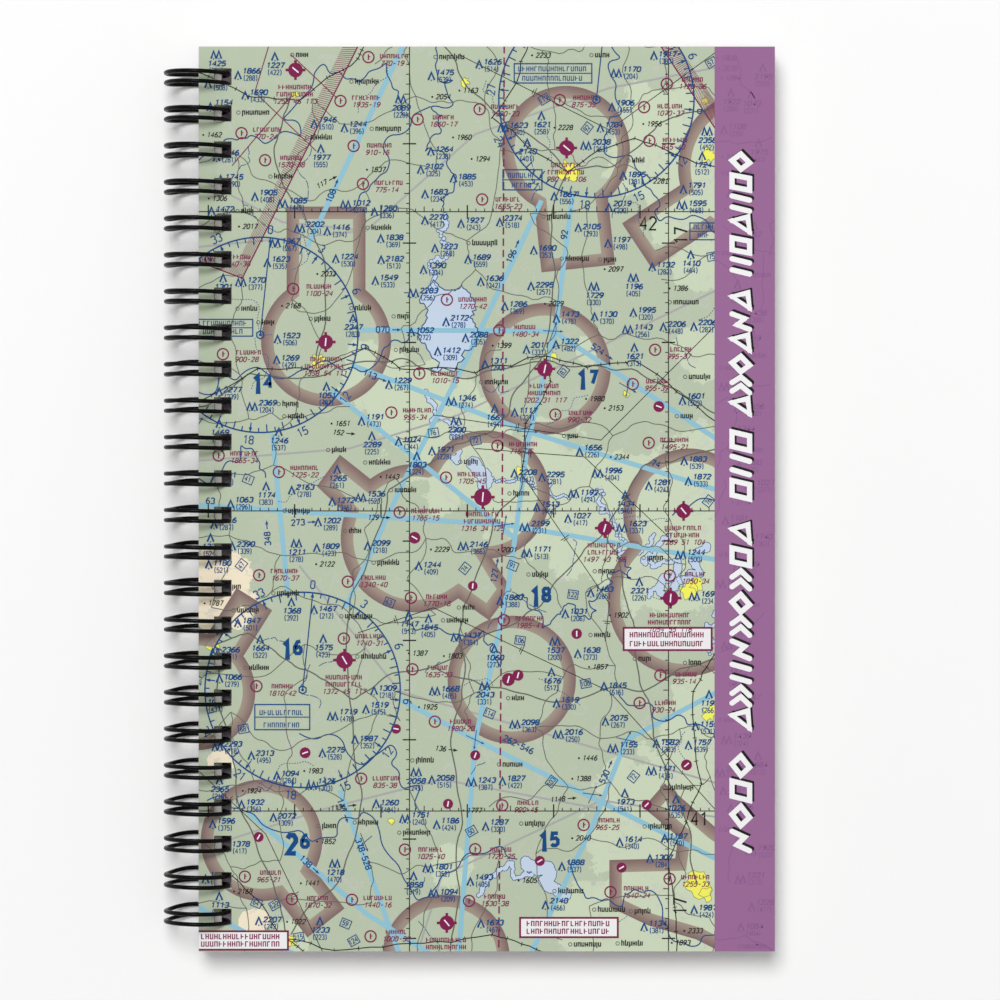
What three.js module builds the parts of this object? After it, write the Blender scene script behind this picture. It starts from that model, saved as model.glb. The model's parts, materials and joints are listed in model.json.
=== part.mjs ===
// A pilot's logbook: two card covers and seventy sheets, punched along one edge with a row of
// square holes and held by a single black wire bent into twin loops.
// Millimetres, +Z up. X runs from the binding to the fore edge, Y from the foot to the head.
import * as THREE from "three";

// Covers and sheets
const COVER_WIDTH = 137.5; // binding edge to fore edge
const COVER_HEIGHT = 215.9; // foot to head
const CARD_THICKNESS = 0.4;
const SHEET_THICKNESS = 0.105;
const SHEET_TRIM = 0.3; // how much shorter a sheet is at the fore edge, the head and the foot
const SECTION_COUNT = 17; // sections between the first and the last sheet
const SHEETS_PER_SECTION = 4;
const AIR_GAP = 0.02; // between neighbours in the stack

// Punched holes
const LOOP_COUNT = 24;
const LOOP_PITCH = 8.72;
const LOOP_ROW_SHIFT = 0.5; // the row of loops sits this much nearer the head
const HOLE_LENGTH = 4.2; // along X
const HOLE_WIDTH = 4.0; // along Y
const HOLE_FROM_EDGE = 5.75; // binding edge to the middle of a hole

// Wire loops
const WIRE_DIAMETER = 1.1;
const WIRE_SIDES = 4;
const RING_RADIUS = 7.5; // to the middle of the wire
const RING_TO_EDGE = 0.5; // from the rings' axis to the binding edge of every leaf
const COVER_ABOVE_AXIS = 3.6; // from the rings' axis to the outer face of the front cover
const LEG_SPACING = 2.4; // between the two legs of one loop
const LEG_STEPS = 10;
const ROOT_ANGLE = 279; // where a leg leaves the straight run along the spine, in degrees
const TIP_ANGLE = -57; // where the legs end in the hairpin that closes the ring
const BEND_ANGLE = 9; // turned through by a bend as it leaves or joins a leg

function paint(color, roughness, metalness = 0) {
  return new THREE.MeshStandardMaterial({ color, roughness, metalness });
}

const FRONT_CARD = paint(0xb4c0a8, 0.62);
const BACK_CARD = paint(0x9c6a98, 0.62);
const PAPER = paint(0xf4f2ea, 0.85);
const BLACK_WIRE = paint(0x141414, 0.32, 0.6);

// Middle of each loop along Y, from the foot to the head.
function loopMiddles() {
  const first = LOOP_ROW_SHIFT - ((LOOP_COUNT - 1) * LOOP_PITCH) / 2;
  return Array.from({ length: LOOP_COUNT }, (_, i) => first + i * LOOP_PITCH);
}

// A rectangle from (left, bottom) to (right, top), as an outline or a hole.
function rectangle(outline, left, bottom, right, top) {
  outline.moveTo(left, bottom);
  outline.lineTo(right, bottom);
  outline.lineTo(right, top);
  outline.lineTo(left, top);
  outline.closePath();
  return outline;
}

// A flat leaf with the row of square holes along its binding edge, lying on z = 0.
function punchedLeaf(thickness, trim) {
  const halfHeight = COVER_HEIGHT / 2 - trim;
  const foreEdge = RING_TO_EDGE + COVER_WIDTH - trim;
  const leaf = rectangle(new THREE.Shape(), RING_TO_EDGE, -halfHeight, foreEdge, halfHeight);
  const left = RING_TO_EDGE + HOLE_FROM_EDGE - HOLE_LENGTH / 2;
  for (const middle of loopMiddles()) {
    const bottom = middle - HOLE_WIDTH / 2;
    const hole = rectangle(new THREE.Path(), left, bottom, left + HOLE_LENGTH, bottom + HOLE_WIDTH);
    leaf.holes.push(hole);
  }
  return new THREE.ExtrudeGeometry(leaf, { depth: thickness, bevelEnabled: false });
}

// A point on the rings' cylinder.
function onRing(degrees, y) {
  const angle = THREE.MathUtils.degToRad(degrees);
  return new THREE.Vector3(RING_RADIUS * Math.cos(angle), y, RING_RADIUS * Math.sin(angle));
}

// The wire's centre line: for each loop, a leg round to the hairpin, the hairpin and a leg back,
// then a straight run along the spine to the next loop.
function wirePoints() {
  const points = [];
  const legAngle = (step) => ROOT_ANGLE + ((TIP_ANGLE - ROOT_ANGLE) * step) / LEG_STEPS;
  loopMiddles().forEach((middle, i) => {
    const first = middle - LEG_SPACING / 2;
    const second = middle + LEG_SPACING / 2;
    if (i > 0) points.push(onRing(ROOT_ANGLE + BEND_ANGLE, first - LEG_SPACING / 2));
    for (let step = 0; step <= LEG_STEPS; step++) points.push(onRing(legAngle(step), first));
    points.push(onRing(TIP_ANGLE - BEND_ANGLE, middle));
    for (let step = LEG_STEPS; step >= 0; step--) points.push(onRing(legAngle(step), second));
    if (i < LOOP_COUNT - 1) points.push(onRing(ROOT_ANGLE + BEND_ANGLE, second + LEG_SPACING / 2));
  });
  return points;
}

// A curve through points by straight steps, one step of the curve for each.
class BentWire extends THREE.Curve {
  constructor(points) {
    super();
    this.points = points;
  }
  getPoint(t, target = new THREE.Vector3()) {
    const last = this.points.length - 1;
    const along = THREE.MathUtils.clamp(t, 0, 1) * last;
    const start = Math.min(Math.floor(along), last - 1);
    return target.lerpVectors(this.points[start], this.points[start + 1], along - start);
  }
  getUtoTmapping(u) {
    return u;
  }
}

function wireGeometry() {
  const points = wirePoints();
  const section = new THREE.Shape();
  for (let side = 0; side < WIRE_SIDES; side++) {
    const angle = (2 * Math.PI * side) / WIRE_SIDES;
    const corner = [(WIRE_DIAMETER / 2) * Math.cos(angle), (WIRE_DIAMETER / 2) * Math.sin(angle)];
    if (side === 0) section.moveTo(...corner);
    else section.lineTo(...corner);
  }
  section.closePath();
  return new THREE.ExtrudeGeometry(section, {
    steps: points.length - 1,
    extrudePath: new BentWire(points),
  });
}

// The stack from the front cover down. Each entry is [name, thickness, trim, material].
function stack() {
  const sections = Array.from({ length: SECTION_COUNT }, (_, i) => {
    const name = `page_section_${String(i + 1).padStart(2, "0")}`;
    return [name, SHEETS_PER_SECTION * SHEET_THICKNESS, SHEET_TRIM, PAPER];
  });
  return [
    ["front_cover", CARD_THICKNESS, 0, FRONT_CARD],
    ["first_sheet", SHEET_THICKNESS, SHEET_TRIM, PAPER],
    ...sections,
    ["last_sheet", SHEET_THICKNESS, SHEET_TRIM, PAPER],
    ["back_cover", CARD_THICKNESS, 0, BACK_CARD],
  ];
}

function named(name, geometry, material) {
  const mesh = new THREE.Mesh(geometry, material);
  mesh.name = name;
  return mesh;
}

// Everything is laid out from the rings' axis, then set down with its lowest point on z = 0
// and the middle of its box over the origin.
function buildLogbook() {
  const binding = new THREE.Group();
  binding.add(named("binding_wire", wireGeometry(), BLACK_WIRE));
  let top = COVER_ABOVE_AXIS;
  for (const [name, thickness, trim, material] of stack()) {
    const leaf = named(name, punchedLeaf(thickness, trim), material);
    leaf.position.z = top - thickness;
    top = leaf.position.z - AIR_GAP;
    binding.add(leaf);
  }
  const box = new THREE.Box3().setFromObject(binding, true);
  const middle = box.getCenter(new THREE.Vector3());
  binding.position.set(-middle.x, -middle.y, -box.min.z);
  return new THREE.Group().add(binding);
}

export default buildLogbook();
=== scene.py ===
"""Finishes a wire-bound pilot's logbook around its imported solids: card covers, loose sheets, a twin-loop
wire, and an invented flying chart printed on the front cover as thin plates of ink."""

import json
import math
import random

import bmesh
import bpy
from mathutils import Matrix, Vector
from mathutils.geometry import tessellate_polygon


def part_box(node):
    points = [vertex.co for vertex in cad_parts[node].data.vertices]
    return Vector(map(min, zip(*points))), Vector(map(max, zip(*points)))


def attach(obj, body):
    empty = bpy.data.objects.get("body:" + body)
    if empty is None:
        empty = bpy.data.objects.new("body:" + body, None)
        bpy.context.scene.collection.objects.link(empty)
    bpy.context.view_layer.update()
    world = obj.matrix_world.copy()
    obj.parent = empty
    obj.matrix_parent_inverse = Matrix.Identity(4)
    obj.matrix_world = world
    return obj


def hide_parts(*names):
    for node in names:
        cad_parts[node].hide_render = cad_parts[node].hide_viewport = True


bl_info = {
    "name": "Pilot Logbook",
    "version": (1, 0, 0),
    "blender": (4, 5, 0),
    "location": "View3D > Sidebar > Logbook",
    "description": "Builds the covers, sheets, wire binding and printed chart of a pilot's logbook",
    "category": "Add Mesh",
}

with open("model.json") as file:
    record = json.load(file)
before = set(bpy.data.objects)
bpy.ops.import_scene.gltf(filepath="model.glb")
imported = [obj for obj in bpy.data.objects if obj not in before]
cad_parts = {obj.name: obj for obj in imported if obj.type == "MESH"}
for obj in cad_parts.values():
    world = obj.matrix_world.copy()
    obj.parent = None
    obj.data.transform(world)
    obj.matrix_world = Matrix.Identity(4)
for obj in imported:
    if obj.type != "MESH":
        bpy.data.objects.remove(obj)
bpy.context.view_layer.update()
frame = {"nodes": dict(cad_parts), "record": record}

MM = 0.001
COVER_LOW, COVER_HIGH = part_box("front_cover")
COVER_WIDTH = (COVER_HIGH.x - COVER_LOW.x) / MM
COVER_HEIGHT = (COVER_HIGH.y - COVER_LOW.y) / MM
HINGE = Vector(frame["record"]["behaviour"]["joints"][0]["pos_m"])
SECTION_NODES = sorted(name for name in frame["nodes"] if name.startswith("page_section"))
SHEET_NODES = ["first_sheet", *SECTION_NODES, "last_sheet"]


# ---------------------------------------------------------------- sizes and colours


def length(name, description, default):
    """A length property given in millimetres."""
    return bpy.props.FloatProperty(
        name=name, description=description, default=default * MM, min=0.0, precision=5, unit="LENGTH"
    )


def colour(name, description, default):
    return bpy.props.FloatVectorProperty(
        name=name, description=description, default=(*default, 1.0), size=4, min=0.0, max=1.0, subtype="COLOR"
    )


class LogbookPrint(bpy.types.PropertyGroup):
    band_width: length("Band width", "Width of the purple band along the fore edge", 14.4)
    land: colour("Land", "Printed colour of the chart's ground", (0.482, 0.556, 0.408))
    lowland: colour("Lowland", "Printed colour of the low ground", (0.600, 0.682, 0.500))
    upland: colour("Upland", "Printed colour of the high ground", (0.90, 0.80, 0.60))
    water: colour("Water", "Colour of the lakes", (0.552, 0.660, 0.795))
    shore: colour("Shore", "Colour of shorelines and rivers", (0.009, 0.068, 0.230))
    town: colour("Town", "Colour of built-up areas", (0.900, 0.890, 0.120))
    airway: colour("Airway", "Colour of the airways", (0.275, 0.540, 0.665))
    blue: colour("Blue ink", "Colour of the compass roses and spot heights", (0.001, 0.062, 0.225))
    magenta: colour("Magenta ink", "Colour of the airfields", (0.208, 0.008, 0.072))
    black: colour("Black ink", "Colour of railways and town marks", (0.008, 0.007, 0.007))
    road: colour("Road", "Colour of roads", (0.125, 0.130, 0.110))
    route: colour("Route", "Colour of the low-flying routes", (0.400, 0.400, 0.400))
    airspace: colour("Airspace edge", "Outer edge of an airspace ring", (0.213, 0.128, 0.128))
    airspace_inside: colour("Airspace inside", "Inner edge of an airspace ring", (0.371, 0.302, 0.242))
    band: colour("Band", "Colour of the fore-edge band", (0.322, 0.140, 0.303))
    band_ghost: colour("Band marks", "Chart marks that show through the band", (0.268, 0.112, 0.278))
    motif: colour("Motif", "Colour of the band's motif", (0.905, 0.905, 0.905))
    note: colour("Note", "Colour of the white note boxes", (0.86, 0.85, 0.86))


class LogbookWire(bpy.types.PropertyGroup):
    diameter: length("Diameter", "Diameter of the coated wire", 1.02)
    ring_radius: length("Ring radius", "Ring axis to the middle of the wire", 7.5)
    leg_spacing: length("Leg spacing", "Distance between the two legs of a loop", 2.4)
    lean: length("Lean", "How far a loop leans towards the head under the covers", 0.65)
    spread: length("Spread", "How far neighbouring loops differ", 0.3)
    nod: length("Nod", "How far a loop leans towards the foot where it enters the cover", 0.28)
    sides: bpy.props.IntProperty(name="Sides", description="Corners of the wire's section", default=14, min=6)
    colour: colour("Coating", "Colour of the wire's coating", (0.0022, 0.0022, 0.0025))


class LogbookPaper(bpy.types.PropertyGroup):
    colour: colour("Paper", "Colour of the sheets", (0.875, 0.86, 0.81))
    dot_pitch: length("Dot pitch", "Spacing of the printed dots", 5.0)
    dot_radius: length("Dot radius", "Radius of a printed dot", 0.22)
    cut_spread: length("Cut spread", "How far neighbouring sheet edges differ", 0.11)
    hole_shift: length("Hole shift", "How much narrower the sheets' holes are than the cover's", 1.5)
    hole_step: length("Hole step", "How much each hole's edge steps back from the one above", 0.16)


class LogbookStage(bpy.types.PropertyGroup):
    view_width: length("View width", "Width of the view at the cover", 238.6)
    camera_height: length("Camera height", "Camera's height over the cover", 950.0)
    floor_size: length("Floor size", "Side of the floor", 6000.0)


# ---------------------------------------------------------------- shader groups and materials


class Nodes:
    """Short calls for adding and joining nodes in one tree."""

    def __init__(self, tree):
        self.tree = tree

    def add(self, kind, **settings):
        node = self.tree.nodes.new(kind)
        inputs = settings.pop("inputs", {})
        for name, value in settings.items():
            setattr(node, name, value)
        for name, value in inputs.items():
            self.feed(node.inputs[name], value)
        return node

    def feed(self, socket, value):
        if isinstance(value, bpy.types.NodeSocket):
            self.tree.links.new(value, socket)
        else:
            socket.default_value = value

    def math(self, operation, first, second=0.0, third=None):
        node = self.add("ShaderNodeMath", operation=operation)
        self.feed(node.inputs[0], first)
        self.feed(node.inputs[1], second)
        if third is not None:
            self.feed(node.inputs[2], third)
        return node.outputs[0]

    def mix(self, factor, first, second):
        node = self.add("ShaderNodeMix", data_type="RGBA")
        self.feed(node.inputs[0], factor)
        self.feed(node.inputs[6], first)
        self.feed(node.inputs[7], second)
        return node.outputs[2]

    def noise(self, vector, scale, detail=2.0, roughness=0.5):
        node = self.add("ShaderNodeTexNoise")
        self.feed(node.inputs["Vector"], vector)
        node.inputs["Scale"].default_value = scale
        node.inputs["Detail"].default_value = detail
        node.inputs["Roughness"].default_value = roughness
        return node.outputs["Fac"]

    def step(self, value, low, high, to_low=0.0, to_high=1.0):
        """A smooth rise from to_low to to_high as value goes from low to high."""
        node = self.add("ShaderNodeMapRange", interpolation_type="SMOOTHSTEP")
        for name, number in (("From Min", low), ("From Max", high), ("To Min", to_low), ("To Max", to_high)):
            node.inputs[name].default_value = number
        self.feed(node.inputs["Value"], value)
        return node.outputs["Result"]


def group_sockets(group, takes, gives):
    for name, kind, default in takes:
        socket = group.interface.new_socket(name=name, in_out="INPUT", socket_type=kind)
        if default is not None:
            socket.default_value = default
    for name, kind in gives:
        group.interface.new_socket(name=name, in_out="OUTPUT", socket_type=kind)


def surface_grain():
    """Fine grain of a printed or coated surface: a tinted colour, a roughness and a height."""
    if "Surface grain" in bpy.data.node_groups:
        return bpy.data.node_groups["Surface grain"]
    group = bpy.data.node_groups.new("Surface grain", "ShaderNodeTree")
    group_sockets(
        group,
        [
            ("Vector", "NodeSocketVector", None),
            ("Color", "NodeSocketColor", (1.0, 1.0, 1.0, 1.0)),
            ("Scale", "NodeSocketFloat", 4000.0),
            ("Mottle", "NodeSocketFloat", 0.06),
            ("Roughness", "NodeSocketFloat", 0.6),
        ],
        [("Color", "NodeSocketColor"), ("Roughness", "NodeSocketFloat"), ("Height", "NodeSocketFloat")],
    )
    n = Nodes(group)
    takes = n.add("NodeGroupInput").outputs
    gives = n.add("NodeGroupOutput").inputs
    grain = n.add("ShaderNodeTexNoise", inputs={"Vector": takes["Vector"], "Scale": takes["Scale"]})
    fine = grain.outputs["Fac"]
    broad = n.noise(takes["Vector"], 55.0, 3.0)
    spread = n.math("MULTIPLY", n.math("SUBTRACT", n.math("ADD", fine, broad), 1.0), takes["Mottle"])
    scale = n.add("ShaderNodeVectorMath", operation="SCALE", inputs={"Vector": takes["Color"]})
    n.feed(scale.inputs["Scale"], n.math("ADD", spread, 1.0))
    n.feed(gives["Color"], scale.outputs[0])
    n.feed(gives["Roughness"], n.math("ADD", takes["Roughness"], n.math("MULTIPLY", spread, 1.2)))
    n.feed(gives["Height"], fine)
    return group


COVER_GLOSS = 0.2
BUMP_DEPTH = 0.02 * MM


def finish_surface(n, shader, vector, base, *, scale, mottle, roughness, bump, gloss):
    """Feeds a Principled shader through the shared grain."""
    grain = n.add("ShaderNodeGroup")
    grain.node_tree = surface_grain()
    n.feed(grain.inputs["Vector"], vector)
    n.feed(grain.inputs["Color"], base)
    grain.inputs["Scale"].default_value = scale
    grain.inputs["Mottle"].default_value = mottle
    grain.inputs["Roughness"].default_value = roughness
    n.feed(shader.inputs["Base Color"], grain.outputs["Color"])
    n.feed(shader.inputs["Roughness"], grain.outputs["Roughness"])
    relief = n.add("ShaderNodeBump")
    relief.inputs["Strength"].default_value = bump
    relief.inputs["Distance"].default_value = BUMP_DEPTH
    n.feed(relief.inputs["Height"], grain.outputs["Height"])
    n.feed(shader.inputs["Normal"], relief.outputs["Normal"])
    shader.inputs["Specular IOR Level"].default_value = gloss


def new_material(name):
    """A material, its node helper, its Principled shader and its coordinates."""
    made = bpy.data.materials.new(name)
    made.use_nodes = True
    n = Nodes(made.node_tree)
    shader = made.node_tree.nodes["Principled BSDF"]
    coordinates = n.add("ShaderNodeTexCoord").outputs
    return made, n, shader, coordinates


def printed_finish(n, shader, place, base, mottle):
    """Ink under the cover's soft laminate."""
    finish_surface(
        n, shader, place, base, scale=5200.0, mottle=mottle, roughness=0.68, bump=0.10, gloss=COVER_GLOSS
    )


def ink_material(name, base):
    """One even printed ink."""
    made, n, shader, coordinates = new_material(name)
    printed_finish(n, shader, coordinates["Object"], tuple(base), 0.10)
    return made


def airspace_material(outside, inside):
    """Airspace ink that pales from its outer to its inner edge, by the tone on each face."""
    made, n, shader, coordinates = new_material("Airspace ink")
    tone = n.add("ShaderNodeAttribute", attribute_name="tone").outputs["Fac"]
    blotch = n.noise(coordinates["Object"], 150.0, 3.0)
    weight = n.math("ADD", tone, n.math("MULTIPLY", n.math("SUBTRACT", blotch, 0.5), 0.45))
    base = n.mix(n.step(weight, -0.25, 1.15), tuple(outside), tuple(inside))
    printed_finish(n, shader, coordinates["Object"], base, 0.08)
    return made


RAW_CARD = (0.86, 0.85, 0.82, 1.0)


def cover_material(name, printed, face_up=True):
    """Laminated card: printed on its outer face, and raw inside and along the cut edges. The print is
    a colour, or a function that makes one out of nodes."""
    made, n, shader, coordinates = new_material(name)
    place = coordinates["Object"]
    base = printed(n, place) if callable(printed) else tuple(printed)
    facing = n.add("ShaderNodeSeparateXYZ", inputs={"Vector": coordinates["Normal"]}).outputs["Z"]
    outward = n.math("MULTIPLY", facing, 1.0 if face_up else -1.0)
    base = n.mix(n.step(outward, 0.35, 0.6), RAW_CARD, base)
    finish_surface(
        n, shader, place, base, scale=4200.0, mottle=0.05, roughness=0.66, bump=0.16, gloss=COVER_GLOSS
    )
    return made


# Rough extents of ground of another tint on the chart as (middle, radius), in millimetres on the cover.
LOW_GROUND = [
    ((43.0, 137.0), 9.0), ((51.0, 130.0), 12.0), ((64.0, 118.0), 14.0), ((78.0, 112.0), 15.0),
    ((95.0, 104.0), 17.0), ((111.0, 97.0), 18.0), ((119.0, 114.0), 11.0), ((112.0, 193.0), 14.0),
    ((120.0, 178.0), 12.0), ((119.0, 164.0), 7.0), ((120.0, 143.0), 7.0), ((121.0, 60.0), 9.0),
    ((119.0, 44.0), 12.0), ((109.0, 32.0), 17.0), ((114.0, 12.0), 20.0), ((97.0, 6.0), 12.0),
    ((60.0, 20.0), 5.0), ((93.0, 144.0), 3.0), ((22.0, 3.0), 4.0),
]
HIGH_GROUND = [((3.0, 86.0), 9.5), ((9.0, 81.0), 4.0), ((13.0, 7.5), 3.2), ((5.0, 45.0), 3.0)]


def ground_mask(n, place, grounds, ragged):
    """1 inside any of the round extents, with a branching edge."""
    nearest = -9.0
    for (u, v), radius in grounds:
        middle = (COVER_LOW.x + u * MM, COVER_LOW.y + v * MM, COVER_HIGH.z)
        away = n.add("ShaderNodeVectorMath", operation="DISTANCE", inputs={"Vector": place})
        away.inputs[1].default_value = middle
        inside = n.math("SUBTRACT", 1.0, n.math("DIVIDE", away.outputs["Value"], radius * MM))
        nearest = n.math("MAXIMUM", inside, nearest)
    edge = n.math("MULTIPLY", n.math("SUBTRACT", ragged, 0.5), 2.1)
    return n.step(n.math("ADD", nearest, edge), 0.0, 0.03)


CONTOUR_GREY = (0.56, 0.57, 0.54, 1.0)


def chart_ground(settings):
    """The chart's ground: a green land tint, ragged low and high ground, and faint contour lines."""

    def build(n, place):
        ragged = n.noise(place, 120.0, 9.0, 0.66)
        low = ground_mask(n, place, LOW_GROUND, ragged)
        high = ground_mask(n, place, HIGH_GROUND, ragged)
        bands = n.math("FRACT", n.math("MULTIPLY", n.noise(place, 60.0, 7.0, 0.6), 9.0))
        from_contour = n.math("ABSOLUTE", n.math("SUBTRACT", bands, 0.5))
        contour = n.math("SUBTRACT", 1.0, n.step(from_contour, 0.03, 0.10))
        broken = n.step(n.noise(place, 150.0, 2.0), 0.47, 0.55)
        faint = n.math("MULTIPLY", n.math("MULTIPLY", contour, broken), 0.55)
        tint = n.mix(low, tuple(settings.land), tuple(settings.lowland))
        tint = n.mix(high, tint, tuple(settings.upland))
        return n.mix(faint, tint, CONTOUR_GREY)

    return build


DOT_GREY = (0.36, 0.37, 0.39, 1.0)


def paper_material(settings):
    """Uncoated writing paper with a light dot grid, which keeps clear of the sheet's edges and holes."""
    made, n, shader, coordinates = new_material("Dotted paper")
    place = coordinates["Object"]
    split = n.add("ShaderNodeSeparateXYZ", inputs={"Vector": place})
    squares = []
    for axis in "XY":
        cell = n.math("FRACT", n.math("DIVIDE", split.outputs[axis], settings.dot_pitch))
        away = n.math("MULTIPLY", n.math("SUBTRACT", cell, 0.5), settings.dot_pitch)
        squares.append(n.math("POWER", away, 2.0))
    distance = n.math("SQRT", n.math("ADD", *squares))
    dot = n.step(distance, settings.dot_radius * 0.7, settings.dot_radius * 1.2, 1.0, 0.0)
    facing = n.add("ShaderNodeSeparateXYZ", inputs={"Vector": coordinates["Normal"]}).outputs["Z"]
    flat = n.step(n.math("ABSOLUTE", facing), 0.8, 0.95)
    margin, fade = settings.dot_pitch * 1.5, 0.1 * MM
    low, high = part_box("first_sheet")
    left, right, head = low.x + 2 * margin, high.x - margin, high.y - margin
    inside = n.step(n.math("ABSOLUTE", split.outputs["Y"]), head, head + fade, 1.0, 0.0)
    after = n.step(split.outputs["X"], left, left + fade)
    before = n.step(split.outputs["X"], right, right + fade, 1.0, 0.0)
    for edge in (flat, inside, after, before):
        dot = n.math("MULTIPLY", dot, edge)
    base = n.mix(dot, tuple(settings.colour), DOT_GREY)
    finish_surface(n, shader, place, base, scale=2600.0, mottle=0.05, roughness=0.86, bump=0.25, gloss=0.15)
    return made


SCUFFED_COATING = (0.012, 0.012, 0.013, 1.0)


def wire_material(settings):
    """Black nylon coating over steel wire, a little scuffed."""
    made, n, shader, coordinates = new_material("Coated wire")
    place = coordinates["Object"]
    scuffs = n.step(n.noise(place, 900.0, 5.0, 0.65), 0.62, 0.72)
    base = n.mix(n.math("MULTIPLY", scuffs, 0.3), tuple(settings.colour), SCUFFED_COATING)
    finish_surface(n, shader, place, base, scale=2400.0, mottle=0.25, roughness=0.30, bump=0.16, gloss=0.10)
    return made


FLOOR_WHITE = (0.985, 0.985, 0.985, 1.0)


def floor_material():
    made, n, shader, coordinates = new_material("Pale floor")
    place = coordinates["Object"]
    finish_surface(
        n, shader, place, FLOOR_WHITE, scale=30.0, mottle=0.004, roughness=0.8, bump=0.0, gloss=0.1
    )
    return made


# ---------------------------------------------------------------- plane geometry


def direction(start, end):
    """The unit step from start towards end, or None where they meet."""
    step = (end[0] - start[0], end[1] - start[1])
    size = math.hypot(*step)
    return (step[0] / size, step[1] / size) if size > 1e-9 else None


def between(start, end, share):
    """The point this share of the way from start to end."""
    return tuple(a + (b - a) * share for a, b in zip(start, end))


def sideways(point, along, distance):
    """The point moved to the left of a direction."""
    return (point[0] - along[1] * distance, point[1] + along[0] * distance)


def turned(start, across, up, degrees):
    """The point across and up from start, on axes turned anticlockwise by degrees."""
    cos, sin = math.cos(math.radians(degrees)), math.sin(math.radians(degrees))
    return (start[0] + across * cos - up * sin, start[1] + across * sin + up * cos)


def on_circle(centre, radius, degrees):
    """A point on a circle, by compass bearing."""
    angle = math.radians(degrees)
    return (centre[0] + radius * math.sin(angle), centre[1] + radius * math.cos(angle))


def circle(centre, radius, sides, start=0.0, turn=360.0):
    """Points round a circle, anticlockwise; a part turn keeps both its ends."""
    count = sides if abs(turn) >= 360 else sides + 1
    return [on_circle(centre, radius, start - turn * i / sides) for i in range(count)]


def rectangle(left, foot, right, head):
    return [(left, foot), (right, foot), (right, head), (left, head)]


def area(outline):
    """Positive for an outline that runs anticlockwise."""
    return 0.5 * sum(outline[i - 1][0] * p[1] - p[0] * outline[i - 1][1] for i, p in enumerate(outline))


def half_plane(outline, axis, limit, side):
    """The part of a convex outline where side * (coordinate - limit) is at least 0."""
    kept = []
    for i, here in enumerate(outline):
        before = outline[i - 1]
        a, b = side * (before[axis] - limit), side * (here[axis] - limit)
        if (a < 0) != (b < 0):
            kept.append(between(before, here, a / (a - b)))
        if b >= 0:
            kept.append(tuple(here))
    return kept


def wander(points, sway, depth, rng):
    """A line through points, broken up by displacing the middle of each stretch again and again."""
    for _ in range(depth):
        finer = [points[0]]
        for start, end in zip(points, points[1:]):
            push = rng.gauss(0.0, sway) * math.dist(start, end)
            along = direction(start, end) or (1.0, 0.0)
            finer += [sideways(between(start, end, 0.5), along, push), end]
        points = finer
    return points


def eased(points, rounds=1):
    """The same line with its corners cut."""
    for _ in range(rounds):
        cut = [points[0]]
        for a, b in zip(points, points[1:]):
            cut += [between(a, b, 0.25), between(a, b, 0.75)]
        points = cut + [points[-1]]
    return points


def dashes(points, on, off):
    """Stretches of a line, each on long, with gaps of off between them."""
    stretches, run, left, drawing = [], [points[0]], on, True
    for start, end in zip(points, points[1:]):
        here, span = start, math.dist(start, end)
        while span > left:
            here = between(here, end, left / span)
            span = math.dist(here, end)
            if drawing:
                stretches.append(run + [here])
            drawing = not drawing
            run, left = [here], on if drawing else off
        left -= span
        run.append(end)
    return stretches


# ---------------------------------------------------------------- drawing on the cover


def new_object(name, data):
    """An object for this mesh, lamp or camera, linked into the scene."""
    made = bpy.data.objects.new(name, data)
    bpy.context.collection.objects.link(made)
    return made


def hole_rectangles():
    """The punched holes as (left, foot, right, head) on the cover, in millimetres, from the cover's solid."""
    corners = [v.co - COVER_LOW for v in frame["nodes"]["front_cover"].data.vertices]
    edge = 0.5
    inner = [c / MM for c in corners]
    inner = [c for c in inner if edge < c.x < COVER_WIDTH - edge and edge < c.y < COVER_HEIGHT - edge]
    left, right = min(c.x for c in inner), max(c.x for c in inner)
    rows = sorted({round(c.y, 2) for c in inner})
    return [(left, foot, right, head) for foot, head in zip(rows[::2], rows[1::2])]


HOLES = hole_rectangles()
HOLE_RIGHT = HOLES[0][2]
# Ink stops this far from the card's edges and holes.
CUT_CLEARANCE = 0.03
# Ink reaches this far down into the card, so that no plate lies loose on it.
SUNK = 0.02
# Each mark stands a hair higher than the one before it, so that crossing marks don't share a face.
MARK_STEP = 0.00026
MARK_LEVELS = 16
# A stroke's sharp corners reach out no further than this times half its width.
MITRE_LIMIT = 1.8


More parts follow.
